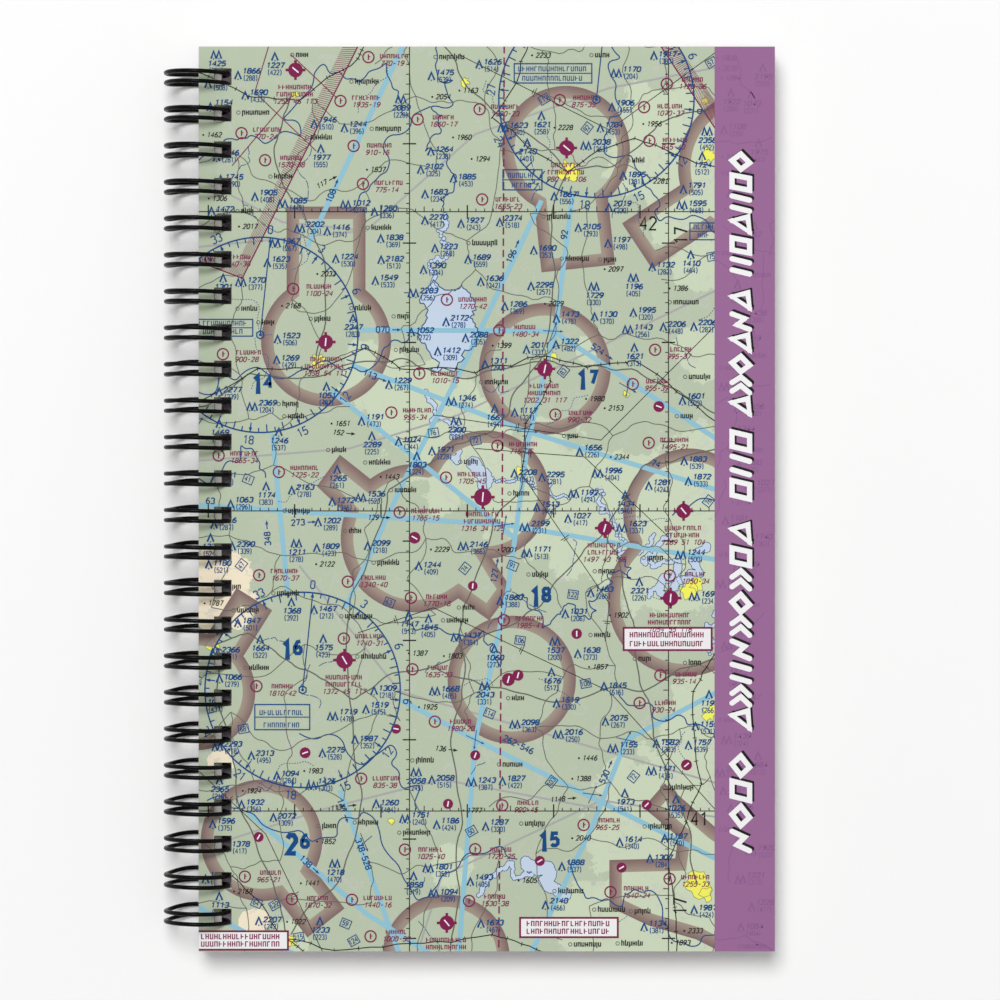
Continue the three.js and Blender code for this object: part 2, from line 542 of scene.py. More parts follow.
class InkPlate:
    """Closed flat plates of one ink, drawn in millimetres from the cover's binding edge and foot, cut
    off at the window's edges and round the punched holes."""

    def __init__(self, level, left=CUT_CLEARANCE, right=COVER_WIDTH - CUT_CLEARANCE):
        self.top = level
        self.window = (left, CUT_CLEARANCE, right, COVER_HEIGHT - CUT_CLEARANCE)
        self.corners, self.faces, self.tones = [], [], []
        self.marks = 0

    def at_depth(self, point, top):
        """A point of the drawing in the object's frame, on the plate's top or sunk in the card."""
        height = self.top + self.marks % MARK_LEVELS * MARK_STEP if top else -SUNK
        return (
            COVER_LOW.x + point[0] * MM,
            COVER_LOW.y + point[1] * MM,
            COVER_HIGH.z + height * MM,
        )

    def prism(self, outline, tone=0.0):
        """One closed plate with this outline."""
        if area(outline) < 0:
            outline = outline[::-1]
        count, first = len(outline), len(self.corners)
        self.corners += [self.at_depth(p, True) for p in outline] + [self.at_depth(p, False) for p in outline]
        self.faces.append([first + i for i in range(count)])
        self.faces.append([first + count + i for i in reversed(range(count))])
        for i in range(count):
            j = (i + 1) % count
            self.faces.append([first + i, first + count + i, first + count + j, first + j])
        self.tones += [tone] * (count + 2)

    def clear(self, outline):
        """Whether an outline lies in the window and off every hole."""
        left, foot, right, head = self.window
        if not all(left <= p[0] <= right and foot <= p[1] <= head for p in outline):
            return False
        return min(p[0] for p in outline) > HOLE_RIGHT + CUT_CLEARANCE

    def cell(self, outline, tone=0.0):
        """A convex patch, cut to the window and round the holes."""
        if area(outline) < 0:
            outline = outline[::-1]
        left, foot, right, head = self.window
        for axis, limit, side in ((0, left, 1), (0, right, -1), (1, foot, 1), (1, head, -1)):
            outline = half_plane(outline, axis, limit, side)
        pieces = [outline]
        for hole in HOLES:
            pieces = [part for piece in pieces for part in self.round_hole(piece, hole)]
        for piece in pieces:
            if len(piece) > 2 and area(piece) > 1e-4:
                self.prism(piece, tone)

    def round_hole(self, outline, hole):
        """A convex outline less a hole, as convex pieces."""
        gap = CUT_CLEARANCE
        sides = ((0, hole[0] - gap, -1), (0, hole[2] + gap, 1), (1, hole[1] - gap, -1), (1, hole[3] + gap, 1))
        if not outline or any(all(s * (p[a] - limit) >= 0 for p in outline) for a, limit, s in sides):
            return [outline]
        pieces = []
        for axis, limit, side in sides:
            outside = half_plane(outline, axis, limit, side)
            if len(outside) > 2:
                pieces.append(outside)
            outline = half_plane(outline, axis, limit, -side)
        return pieces

    def strip(self, edges, tone, closed=False):
        """A closed ribbon between pairs of edge points."""
        first = len(self.corners)
        for left, right in edges:
            self.corners += [self.at_depth(p, top) for top in (True, False) for p in (left, right)]
        count = len(edges)
        for i in range(count if closed else count - 1):
            a, b = first + 4 * i, first + 4 * ((i + 1) % count)
            self.faces += [
                [a, a + 1, b + 1, b],
                [a + 2, b + 2, b + 3, a + 3],
                [a, b, b + 2, a + 2],
                [a + 1, a + 3, b + 3, b + 1],
            ]
            self.tones += [tone] * 4
        if not closed:
            end = first + 4 * (count - 1)
            self.faces += [[first, first + 2, first + 3, first + 1], [end, end + 1, end + 3, end + 2]]
            self.tones += [tone] * 2

    def stroke(self, points, width, closed=False, tone=0.0, shift=0.0):
        """A line of this width along points, moved sideways to its left by shift."""
        self.marks += 1
        edges = []
        count = len(points)
        for i, here in enumerate(points):
            before = points[i - 1] if i > 0 or closed else here
            after = points[(i + 1) % count] if i < count - 1 or closed else here
            into, out = direction(before, here), direction(here, after)
            into, out = into or out, out or into
            if not into:
                return
            along = (into[0] + out[0], into[1] + out[1])
            size = math.hypot(*along)
            if size < 1e-6:
                along, size = into, 1.0
            along = (along[0] / size, along[1] / size)
            spread = min(MITRE_LIMIT, 2.0 / size)
            low, high = (shift - width / 2) * spread, (shift + width / 2) * spread
            edges.append((sideways(here, along, high), sideways(here, along, low)))
        if all(self.clear(pair) for pair in edges):
            self.strip(edges, tone, closed)
            return
        if closed:
            edges.append(edges[0])
        run = []
        for near, far in zip(edges, edges[1:]):
            quad = [near[1], far[1], far[0], near[0]]
            if self.clear(quad):
                run = run or [near]
                run.append(far)
                continue
            if len(run) > 1:
                self.strip(run, tone)
            run = []
            self.cell(quad, tone)
        if len(run) > 1:
            self.strip(run, tone)

    def fill(self, outline):
        """A filled outline of any shape."""
        self.marks += 1
        if self.clear(outline):
            self.prism(outline)
            return
        for triangle in tessellate_polygon([[Vector((*p, 0.0)) for p in outline]]):
            self.cell([outline[k] for k in triangle])

    def disc(self, centre, radius, sides=20):
        self.fill(circle(centre, radius, sides))

    def ring(self, centre, radius, width, sides=28):
        self.stroke(circle(centre, radius, sides), width, closed=True)

    def line(self, start, end, width):
        self.stroke([start, end], width)

    def spoke(self, centre, bearing, inner, outer, width):
        """A straight line from one distance to another from a centre."""
        self.line(on_circle(centre, inner, bearing), on_circle(centre, outer, bearing), width)

    def tie(self, middle, along, half, width):
        """A short line across a direction."""
        self.line(sideways(middle, along, -half), sideways(middle, along, half), width)

    def make(self, name, material):
        """The plate as a piece that rides on the front cover."""
        mesh = bpy.data.meshes.new(name)
        mesh.from_pydata(self.corners, [], self.faces)
        if any(self.tones):
            tone = mesh.attributes.new("tone", "FLOAT", "FACE")
            tone.data.foreach_set("value", self.tones)
        mesh.materials.append(material)
        mesh.update()
        piece = new_object(name, mesh)
        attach(piece, "front_cover")


# ---------------------------------------------------------------- figures and word marks

# Strokes of each figure on a grid two wide and four high.
FIGURES = {
    "0": [[(0.5, 0), (1.5, 0), (2, 0.6), (2, 3.4), (1.5, 4), (0.5, 4), (0, 3.4), (0, 0.6), (0.5, 0)]],
    "1": [[(0.4, 3.2), (1.2, 4), (1.2, 0)]],
    "2": [[(0, 3.3), (0.5, 4), (1.5, 4), (2, 3.3), (2, 2.6), (0, 0), (2, 0)]],
    "3": [
        [(0, 3.5), (0.5, 4), (1.5, 4), (2, 3.4), (2, 2.6), (1.3, 2.1)],
        [(1.3, 2.1), (2, 1.5), (2, 0.6), (1.5, 0), (0.4, 0), (0, 0.5)],
    ],
    "4": [[(1.5, 0), (1.5, 4), (0, 1.3), (2, 1.3)]],
    "5": [[(2, 4), (0.3, 4), (0.1, 2.2), (1.4, 2.4), (2, 1.8), (2, 0.6), (1.4, 0), (0.4, 0), (0, 0.5)]],
    "6": [
        [
            (1.8, 4), (0.9, 3.8), (0, 2.2), (0, 0.6), (0.5, 0), (1.5, 0), (2, 0.6), (2, 1.6), (1.4, 2.2),
            (0.1, 1.9),
        ],
    ],
    "7": [[(0, 4), (2, 4), (0.8, 0)]],
    "8": [
        [(0.5, 2.1), (0, 1.5), (0, 0.5), (0.5, 0), (1.5, 0), (2, 0.5), (2, 1.5), (1.5, 2.1), (0.5, 2.1)],
        [(0.5, 2.1), (0.1, 2.7), (0.1, 3.5), (0.5, 4), (1.5, 4), (1.9, 3.5), (1.9, 2.7), (1.5, 2.1)],
    ],
    "9": [
        [
            (0.2, 0), (1.1, 0.2), (2, 1.8), (2, 3.4), (1.5, 4), (0.5, 4), (0, 3.4), (0, 2.4), (0.6, 1.8),
            (1.9, 2.1),
        ],
    ],
    "(": [[(1.7, 4.6), (1.0, 3.2), (1.0, 0.8), (1.7, -0.6)]],
    ")": [[(0.3, 4.6), (1.0, 3.2), (1.0, 0.8), (0.3, -0.6)]],
    "-": [[(0.3, 1.9), (1.7, 1.9)]],
    " ": [],
}


class Lettering:
    """A size of figures, in millimetres, with their width and step as shares of their height."""

    def __init__(self, height, stroke, wide, step, lean):
        self.height, self.stroke, self.wide, self.step, self.lean = height, stroke, wide, step, lean

    def width(self, text):
        return len(text) * self.step * self.height


SPOT = Lettering(1.12, 0.30, 0.70, 0.98, 0.22)
SPOT_PLAIN = Lettering(1.12, 0.19, 0.46, 0.68, 0.0)
FIELD = Lettering(1.08, 0.20, 0.60, 0.88, 0.30)
PEAK = Lettering(1.10, 0.21, 0.55, 0.82, 0.25)
ROSE = Lettering(1.85, 0.26, 0.52, 0.74, 0.0)
TRACK = Lettering(1.35, 0.27, 0.58, 0.84, 0.0)
GRATICULE = Lettering(3.0, 0.40, 0.50, 0.74, 0.0)
SECTOR_LARGE = Lettering(4.3, 1.15, 0.46, 0.7, 0.0)
SECTOR_SMALL = Lettering(2.9, 0.85, 0.52, 0.7, 0.0)


def draw_figures(plate, text, at, style, turn=0.0):
    """Figures from a start point, turned by turn degrees."""
    for place, figure in enumerate(text):
        for stroke in FIGURES[figure]:
            points = []
            for a, b in stroke:
                up = b / 4 * style.height
                across = (a / 2 * style.wide + place * style.step) * style.height + style.lean * up
                points.append(turned(at, across, up, turn))
            plate.stroke(points, style.stroke)


# Ticks that stand for small and for tall letters, as shares of a letter's height.
SMALL_HEIGHT, SMALL_GAP, SMALL_STEP = 0.74, 0.36, 0.30
TALL_WIDTH, TALL_STEP = 0.46, 0.84


def draw_word(plate, at, height, letters, rng, width):
    """A row of plain ticks that stands for a name without spelling anything."""
    small, gap = SMALL_HEIGHT * height, SMALL_GAP * height
    across = at[0]
    for _ in range(letters):
        low, high = rng.choice(((0, 0.74), (0, 0.74), (0, 0.74), (0, 1.0), (-0.28, 0.74)))
        plate.line((across, at[1] + low * height), (across, at[1] + high * height), width)
        if rng.random() < 0.75:
            plate.line((across + gap, at[1]), (across + gap, at[1] + small), width)
            level = at[1] + rng.choice((0.07, 0.36, 0.67)) * height
            plate.line((across, level), (across + gap, level), width * 0.9)
            across += gap
        across += SMALL_STEP * height


def draw_capitals(plate, centre, height, letters, rng, width=0.22):
    """A centred row of tall ticks."""
    across = centre[0] - letters * TALL_STEP / 2 * height
    foot, head = centre[1], centre[1] + height
    for _ in range(letters):
        plate.line((across, foot), (across, head), width)
        far = across + TALL_WIDTH * height
        if rng.randrange(3) < 2:
            plate.line((far, foot), (far, head), width)
        level = foot + rng.choice((0.08, 0.5, 0.92)) * height
        plate.line((across, level), (far, level), width * 0.9)
        across += TALL_STEP * height


# ---------------------------------------------------------------- the invented chart

CHART_SEED = 5171
# Controlled airspace as (middle, radius, half width, reach and bearing of its arm); no arm where they are 0.
AIRSPACES = [
    ((30.4, 145.5), 15.5, 9.4, 32.2, 0),
    ((87.6, 191.2), 15.3, 8.8, 28.4, 174),
    ((82.6, 139.0), 15.7, 0, 0, 0),
    ((74.7, 64.8), 15.3, 0, 0, 0),
    ((15.0, 26.5), 14.5, 5.6, 25.0, 142),
    ((59.0, -1.6), 15.2, 7.0, 42.0, 248),
    ((-0.5, 62.0), 14.0, 5.0, 26.0, 32),
    ((133.0, 187.0), 18.6, 6.5, 34.0, 236.6),
]
# Airspaces of other outlines: arcs as (middle, radius, first bearing, turn) and corners as points.
JOINED_AIRSPACES = [
    [
        ((68.5, 109.0), 15.3, 174.4, 236.2), ((51.6, 98.6), 17.7, 9.5, 46.5), (33.7, 118.5),
        (28.2, 111.0), ((51.6, 98.6), 17.7, -70.2, 145.6), (69.3, 79.0), (74.7, 86.3),
    ],
    [((117.0, 104.3), 15.7, 115.0, 231.2), ((116.0, 84.0), 18.4, -45.4, 234.6)],
    [
        (111.2, 40.1), (106.1, 34.3), (114.4, 27.4), (113.7, 22.2), (98.0, 21.8), (98.0, 10.6),
        (107.3, 6.2), (118.6, 2.9), (123.4, 0.5), (134.0, 0.0), (134.0, 22.0), (123.4, 29.5),
    ],
]
AIRSPACE_BAND = 2.95
ROSES = [((14.7, 147.1), 23.3), ((24.8, 62.4), 23.3), ((94.9, 203.2), 23.3)]
# Airways as lines through the points where they bend.
AIRWAYS = [
    [(49.2, 217.0), (26.0, 168.2)],
    [(81.8, 179.2), (63.4, 140.3), (48.9, 112.1), (35.0, 82.0)],
    [(89.2, 180.5), (85.1, 148.3), (78.6, 121.8), (73.8, 86.4), (66.0, 50.5), (62.0, -1.0)],
    [(38.6, 148.3), (84.6, 148.0), (124.0, 122.0)],
    [(36.5, 139.9), (78.6, 124.0), (124.0, 110.0)],
    [(17.6, 123.4), (21.2, 86.0)],
    [(-1.0, 106.5), (73.0, 101.8), (124.0, 93.4)],
    [(48.2, 60.0), (66.0, 50.5), (124.0, 21.8)],
    [(79.0, -1.0), (94.0, 30.0), (102.0, 50.5), (124.0, 62.0)],
    [(33.7, 38.5), (48.0, -1.0)],
    [(31.5, 133.8), (75.2, 98.8)],
    [(-1.0, 11.0), (14.0, 3.0), (24.0, -1.0)],
    [(12.0, 33.0), (40.0, 9.0), (56.0, -1.0)],
]
AIRWAY_WIDTH = 1.15
# Where airways cross as (place, bearing).
FIXES = [
    ((84.6, 148.0), 20), ((78.6, 124.0), 20), ((73.0, 101.8), 10), ((102.4, 134.5), 120),
    ((66.0, 50.5), 115), ((94.0, 37.5), 25), ((39.5, 26.0), 158), ((102.0, 50.5), 30),
]
# Figures along airways as (text, start, turn).
TRACKS = [
    ("108", (31.6, 178.6), 68), ("070", (42.4, 147.7), 0), ("113", (39.2, 137.6), -22),
    ("348", (17.2, 97.0), 94), ("524", (93.6, 144.0), -34), ("74", (108.0, 116.0), -17),
    ("273", (22.2, 101.6), 3), ("262-546", (72.6, 50.4), -26), ("530", (96.8, 40.0), 66),
    ("127", (71.0, 88.0), 80), ("141", (33.0, 36.0), -70), ("378-528", (37.4, 26.6), -70),
    ("63", (1.8, 106.9), -3), ("196", (74.6, 164.2), 66), ("92", (87.8, 170.0), 83),
    ("138", (24.0, 22.0), -42),
]
MAIN_LAKE = [
    (55.1, 159.0), (58.7, 157.8), (62.8, 159.5), (65.9, 155.4), (64.7, 151.2), (67.5, 147.1), (63.5, 143.5),
    (61.1, 138.3), (55.1, 138.7), (54.6, 143.5), (52.7, 147.1), (54.6, 151.2), (52.7, 155.4),
]
# Long narrow lakes as (points down the middle, width).
DROWNED_VALLEYS = [
    ([(121.5, 96.8), (119.1, 95.3), (117.5, 93.1), (119.8, 90.1), (116.6, 88.9), (113.3, 86.3)], 1.5),
    ([(114.5, 92.2), (114.0, 90.5), (111.1, 89.2), (110.2, 86.7), (110.5, 85.2)], 1.5),
    ([(110.2, 86.7), (108.4, 86.4), (107.2, 84.3)], 0.8),
    ([(114.5, 92.2), (109.9, 92.4), (106.6, 92.5), (107.5, 94.7), (110.2, 97.4), (112.7, 99.5)], 0.9),
    (
        [
            (108.7, 99.5), (107.5, 96.8), (105.1, 95.0), (102.6, 94.7), (100.2, 94.7), (101.4, 97.2),
            (99.3, 101.0),
        ],
        0.7,
    ),
    ([(99.3, 101.0), (98.4, 103.8), (95.9, 104.7), (96.2, 109.9), (92.3, 108.3)], 0.7),
    ([(65.6, 116.4), (67.4, 114.2), (68.9, 112.4), (67.6, 111.2)], 2.5),
    ([(61.0, 123.4), (62.2, 120.4), (60.6, 117.8), (62.0, 116.6)], 1.1),
    ([(54.2, 133.6), (56.4, 129.6), (58.6, 127.0), (61.0, 123.4)], 0.8),
    ([(69.0, 112.6), (73.4, 112.0), (77.0, 112.8), (80.0, 110.5), (84.0, 111.4), (88.6, 107.6)], 0.5),
    ([(56.8, 158.0), (55.0, 164.0), (59.6, 167.0), (57.2, 172.0), (58.4, 176.4)], 0.8),
    ([(78.0, 21.6), (81.5, 19.6), (83.6, 20.2), (82.5, 16.8), (85.4, 14.8), (88.2, 13.4)], 2.2),
    ([(66.8, 13.4), (69.4, 17.6), (71.5, 19.4), (74.0, 21.0), (76.0, 17.6), (80.0, 18.2)], 0.9),
    ([(123.2, 81.0), (121.4, 76.0), (122.6, 70.4)], 0.6),
]
RIVERS = [
    [
        (58.4, 176.4), (58.0, 179.8), (61.0, 182.6), (59.5, 187.0), (54.0, 190.8), (58.0, 196.0),
        (55.4, 201.6), (61.0, 208.0), (57.5, 217.0),
    ],
    [
        (-1.0, 188.0), (8.0, 194.0), (16.0, 192.6), (24.0, 203.0), (35.0, 208.0), (46.0, 207.4),
        (51.0, 198.0),
    ],
    [(36.0, 176.6), (45.0, 186.0), (55.4, 201.6)],
    [(-1.0, 134.0), (12.0, 139.0), (28.0, 140.0), (44.0, 144.0), (53.0, 147.0)],
    [
        (99.9, 94.1), (103.2, 91.6), (103.2, 88.9), (99.0, 90.4), (98.0, 87.4), (95.6, 85.5),
        (95.0, 81.3), (90.5, 80.0), (88.3, 83.1), (86.5, 80.4), (82.0, 77.0), (78.5, 84.4), (75.8, 84.6),
    ],
    [(98.0, 217.0), (101.0, 201.0), (97.0, 193.0), (106.0, 184.0), (110.0, 174.0), (124.0, 171.0)],
    [(113.0, 104.0), (124.0, 107.0)],
    [(50.0, 81.0), (53.0, 77.0), (60.0, 75.6), (68.0, 76.6), (70.5, 73.4), (72.0, 68.0)],
    [(24.0, 52.0), (38.0, 44.6), (48.0, 43.0), (52.0, 34.0)],
    [(2.0, 36.0), (14.0, 31.8), (27.0, 26.0), (39.0, 33.6), (52.0, 12.0), (62.0, 20.0), (76.0, 22.0)],
    [(88.0, 21.5), (96.0, 12.0), (104.0, 15.0), (112.0, 6.0), (124.0, 4.0)],
    [(-1.0, 119.0), (10.0, 121.0), (16.0, 113.0)],
    [(100.0, 62.0), (108.0, 56.0), (120.0, 54.0), (124.0, 50.0)],
]
# Built-up areas as (middle, radius).
TOWNS = [
    ((88.5, 186.0), 2.7), ((28.6, 140.8), 1.8), ((83.8, 142.2), 1.5), ((23.1, 204.4), 1.0),
    ((63.5, 207.5), 1.2), ((3.5, 73.0), 1.9), ((77.2, 114.6), 1.6), ((117.0, 86.0), 2.4),
    ((118.8, 87.6), 1.9), ((119.4, 16.0), 3.0), ((121.2, 13.6), 1.6), ((21.7, 2.7), 1.7),
    ((122.0, 57.0), 2.0), ((121.6, 190.0), 1.8), ((46.0, 31.0), 0.8), ((121.0, 203.0), 1.0),
    ((102.0, 133.0), 0.8),
]
# Airfields with hard runways as (middle, radius, runway bearing).
AIRFIELDS = [
    ((23.1, 210.3), 1.75, 130), ((87.8, 191.7), 1.85, 130), ((30.3, 145.4), 1.75, 5),
    ((82.6, 139.0), 1.85, 12), ((67.8, 108.4), 2.1, 5), ((34.8, 69.5), 2.0, 150),
    ((96.9, 101.0), 1.75, 15), ((115.7, 105.1), 1.75, 140), ((112.6, 84.3), 1.85, 5),
    ((59.2, 6.8), 1.75, 140),
]
STRIPS = [
    ((73.9, 64.9), 1.55, 15), ((76.2, 65.9), 1.3, 15), ((51.5, 98.7), 1.4, 120), ((65.4, 87.2), 1.15, 5),
    ((47.1, 53.1), 1.15, 100), ((25.4, 47.4), 1.3, 70), ((59.5, 35.2), 1.2, 10), ((81.4, 21.6), 1.2, 60),
    ((14.3, 27.3), 1.2, 30), ((90.2, 75.8), 1.25, 0), ((109.8, 130.0), 1.3, 110), ((116.4, 44.5), 1.3, 50),
    ((106.9, 35.0), 1.2, 45), ((66.0, 46.8), 1.2, 20), ((100.9, 20.0), 1.2, 60),
]
MERIDIANS = [50.3, 112.1]
PARALLELS = [176.5, 105.1, 33.5]
MINUTE = (2.06, 2.37)
VARIATION_LINE = [(72.9, 216.0), (72.4, 100.0), (71.6, 0.0)]
GRATICULE_LABELS = [
    ("42", (105.4, 172.2), 0), ("17", (116.6, 168.9), 90), ("41", (117.6, 30.1), 0),
    ("17", (116.4, 8.9), 90),
]
# Sector figures as (large figure, small figure, start).
SECTOR_FIGURES = [
    ("1", "4", (13.0, 133.0)), ("1", "7", (90.5, 134.0)), ("1", "6", (20.0, 69.6)),
    ("1", "8", (79.3, 82.2)), ("1", "5", (81.3, 23.8)), ("2", "6", (21.2, 23.4)),
]
# Note boxes as (left, foot, right, head): white ones edged in magenta, clear ones edged in blue.
WHITE_NOTES = [(101.4, 71.9, 122.4, 77.2), (76.7, 3.4, 100.0, 8.0), (-1.0, 0.4, 21.3, 4.8)]
CLEAR_NOTES = [
    (75.3, 207.2, 93.8, 211.8), (72.6, 181.7, 81.9, 186.5), (13.4, 52.9, 26.5, 58.9),
    (-1.0, 146.8, 12.9, 150.8), (117.2, 169.8, 124.0, 173.8),
]
RAILWAYS = [
    [
        (-1, 131), (14, 139), (28, 138.4), (40, 144), (48, 139), (66, 138), (83, 142), (96, 140),
        (104, 141), (124, 126),
    ],
    [(79, 217), (70, 199), (88, 186), (104, 194), (124, 187)],
    [(83, 142), (84, 136), (78, 126), (77, 114)], [(-1, 210), (12, 204), (24, 203), (38, 213), (40, 217)],
    [(8, 18), (21, 3), (26, -1)], [(21, 3), (44, 1), (70, 4), (84, -1)],
    [(124, 74), (118, 62), (120, 40), (112, 22), (114, -1)],
]
HIGHWAYS = [
    [(-1, 130), (12, 138), (28, 137), (48, 141.6), (66, 137), (84, 141), (104, 139), (124, 128)],
    [(28, 140), (30, 165), (24, 178), (18, 192), (22, 204)],
    [(88, 186), (76, 196), (63, 208), (58, 217)],
    [(88, 186), (84, 168), (82, 143)],
    [(88, 186), (102, 190), (113, 199), (124, 202)],
    [(4, 73), (12, 76), (28, 66), (37, 60), (56, 68), (75, 62), (90, 60), (106, 62), (124, 70)],
    [(4, 73), (8, 46), (16, 20), (21, 3)],
    [(82, 142), (74, 128), (61, 121), (45, 110), (38, 88), (36, 60), (38, 30), (22, 4)],
    [(77, 114), (70, 100), (62, 76), (60, 50), (63, 30), (60, -1)],
    [(97, 100), (82, 83), (75, 78), (56, 68)],
    [(119, 16), (112, 40), (106, 62), (104, 78), (97, 100), (106, 116), (124, 120)],
]
POWER_LINES = [
    [(124, 33), (98, 62), (56, 82), (38, 76)], [(77, 114), (98, 83), (97, 74)],
    [(124, 150), (96, 122), (56, 128)], [(112, 99), (92, 118), (66, 120)], [(-1, 44), (16, 28), (30, -1)],
    [(124, 215), (98, 196), (62, 214)],
]
LOW_ROUTES = [
    [(-1, 168), (40, 172), (66, 195), (98, 206), (124, 211)],
    [(-1, 117), (36, 120), (62, 128), (124, 158)], [(52, -1), (58, 18), (96, 36), (124, 32)],
    [(-1, 24), (30, 34), (58, 41), (96, 34)], [(24, 92), (48, 62), (124, 40)],
    [(-1, 185), (20, 174), (40, 172)],
]
ROUTE_LABELS = [
    ("117", (28.5, 182.0), 28), ("152", (32.0, 123.4), -5), ("136", (56.4, 48.0), -6),
    ("1148", (84.0, 35.6), 5), ("1136", (31.6, 33.6), 8), ("129", (40.4, 103.0), 0),
]


# Training areas as (edge, inner edge of its hatched strip), and lines between them.
TRAINING_AREAS = [
    ([(38.5, 217.0), (10.4, 160.6), (-1.0, 165.0)], [(34.9, 217.0), (8.9, 163.6), (-1.0, 167.4)]),
    ([(109.6, 217.0), (124.0, 195.2)], [(113.8, 217.0), (124.0, 201.6)]),
]
TRAINING_LINES = [
    [(8.0, 187.5), (22.0, 204.0)], [(17.0, 217.0), (13.4, 205.0), (28.0, 191.0)],
    [(22.0, 214.0), (33.0, 203.6)],
]
HATCH_PITCH = 0.52


class Placer:
    """Hands out seeded random places for marks, keeping their boxes apart."""

    def __init__(self, rng, window):
        self.rng, self.window, self.taken = rng, window, []

    def keep(self, left, foot, right, head):
        self.taken.append((left, foot, right, head))

    def keep_round(self, points, left, foot, right, head):
        """Keeps the box round these points, grown by a margin on each side."""
        across, up = zip(*points)
        self.keep(min(across) - left, min(up) - foot, max(across) + right, max(up) + head)

    def find(self, width, height, tries=120):
        """The lower left corner of a free box, or None when the chart is full there."""
        left, foot, right, head = self.window
        for _ in range(tries):
            u = self.rng.uniform(left, right - width)
            v = self.rng.uniform(foot, head - height)
            far, top = u + width, v + height
            if not any(u < r and l < far and v < h and f < top for l, f, r, h in self.taken):
                self.keep(u, v, far, top)
                return u, v
        return None


BLOT_SIDES = 7
SHORE_REACH = 0.17


def draw_reach(plates, bends, width, rng):
    """A narrow ragged lake as a chain of small blots in a darker shore."""
    for start, end in zip(bends, bends[1:]):
        count = max(1, int(math.dist(start, end) / (0.3 + 0.22 * width)))
        for k in range(count):
            middle = between(start, end, k / count)
            radius = width * rng.uniform(0.42, 0.72)
            first = rng.uniform(0, 50)
            plates["water_top"].fill(circle(middle, radius, BLOT_SIDES, first))
            plates["shore_fill"].fill(circle(middle, radius + SHORE_REACH, BLOT_SIDES, first))


def draw_land(plates, rng):
    """Lakes, rivers and built-up areas."""
    shore = wander(MAIN_LAKE + [MAIN_LAKE[0]], 0.20, 3, rng)[:-1]
    plates["water"].fill(shore)
    plates["shore"].stroke(shore, 0.24, closed=True)
    for middle, width in DROWNED_VALLEYS:
        draw_reach(plates, wander(middle, 0.2, 3, rng), width, rng)
    for river in RIVERS:
        plates["shore"].stroke(eased(wander(river, 0.24, 3, rng), 2), 0.28)
    for _ in range(34):
        start = (rng.uniform(0, 122), rng.uniform(0, 215))
        end = on_circle(start, rng.uniform(5, 16), rng.uniform(0, 360))
        for stretch in dashes(eased(wander([start, end], 0.2, 3, rng)), rng.choice((0.35, 2.2)), 0.3):
            plates["shore"].stroke(stretch, 0.16)
    for centre, radius in TOWNS:
        bearings = [360 * k / 16 for k in reversed(range(16))]
        outline = [on_circle(centre, radius * rng.uniform(0.5, 1.25), bearing) for bearing in bearings]
        plates["town"].fill(outline)
        plates["road"].stroke(outline, 0.10, closed=True)


def airspace_path(centre, radius, half_width, reach, bearing, sides=72):
    """Anticlockwise outline of a round airspace with a straight arm, or without one."""
    if not half_width:
        return circle(centre, radius, sides)
    mouth = math.degrees(math.asin(half_width / radius))
    arc = circle(centre, radius, sides, bearing - mouth, 360 - 2 * mouth)
    end = on_circle(centre, reach, bearing)
    corners = [on_circle(end, half_width, bearing + side) for side in (90, -90)]
    return arc + corners


AIRSPACE_STEPS = 8


def draw_airspace(plates):
    """Airspace edges as bands of ever paler strokes, and the airways over them."""
    paths = [airspace_path(*airspace) for airspace in AIRSPACES]
    for parts in JOINED_AIRSPACES:
        paths.append([])
        for part in parts:
            if len(part) == 4:
                centre, radius, first, turn = part
                paths[-1] += circle(centre, radius, max(8, int(turn / 5)), first, turn)
            else:
                paths[-1].append(part)
    width = AIRSPACE_BAND / AIRSPACE_STEPS
    for path in paths:
        for k in range(AIRSPACE_STEPS):
            tone = (k + 0.3) / AIRSPACE_STEPS
            plates["airspace"].stroke(path, width * 1.03, True, tone, (k + 0.5) * width)
    for route in AIRWAYS:
        plates["airway"].stroke(route, AIRWAY_WIDTH)


def draw_arrow(plate, start, bearing, length, width=0.2, head=0.75):
    plate.spoke(start, bearing, 0.0, length - head * 0.8, width)
    tip, base = on_circle(start, length, bearing), on_circle(start, length - head, bearing)
    plate.fill([tip, *(on_circle(base, head * 0.38, bearing + side) for side in (-90, 90))])


def draw_airway_marks(plate, placer):
    """Crossing arrows at the fixes, and figures with an arrow along the airways."""
    for place, bearing in FIXES:
        for turn in (0, 72):
            draw_arrow(plate, on_circle(place, -2.4, bearing + turn), bearing + turn, 4.8, 0.17)
    for text, start, turn in TRACKS:
        draw_figures(plate, text, start, TRACK, turn)
        end = turned(start, TRACK.width(text) + 0.4, 0.6, turn)
        if len(text) == 3:
            draw_arrow(plate, end, 90 - turn, 2.1, 0.24, 0.95)
        placer.keep_round((start, end), 1.2, 1.2, 1.4, 1.4)


def draw_grid_line(plate, place, ends, first, pitch, count, side, short):
    """A line of the grid with a tick at every minute, longer at every fifth and across at every tenth.
    place gives the point so far off the line and so far along it."""
    plate.line(place(0.0, ends[0]), place(0.0, ends[1]), 0.22)
    for k in range(count):
        along = first + pitch * k
        if k % 10 == 0:
            plate.line(place(-1.6, along), place(1.6, along), 0.30)
        else:
            low, high = sorted((0.0, side * (1.25 if k % 5 == 0 else short)))
            plate.line(place(low, along), place(high, along), 0.20)


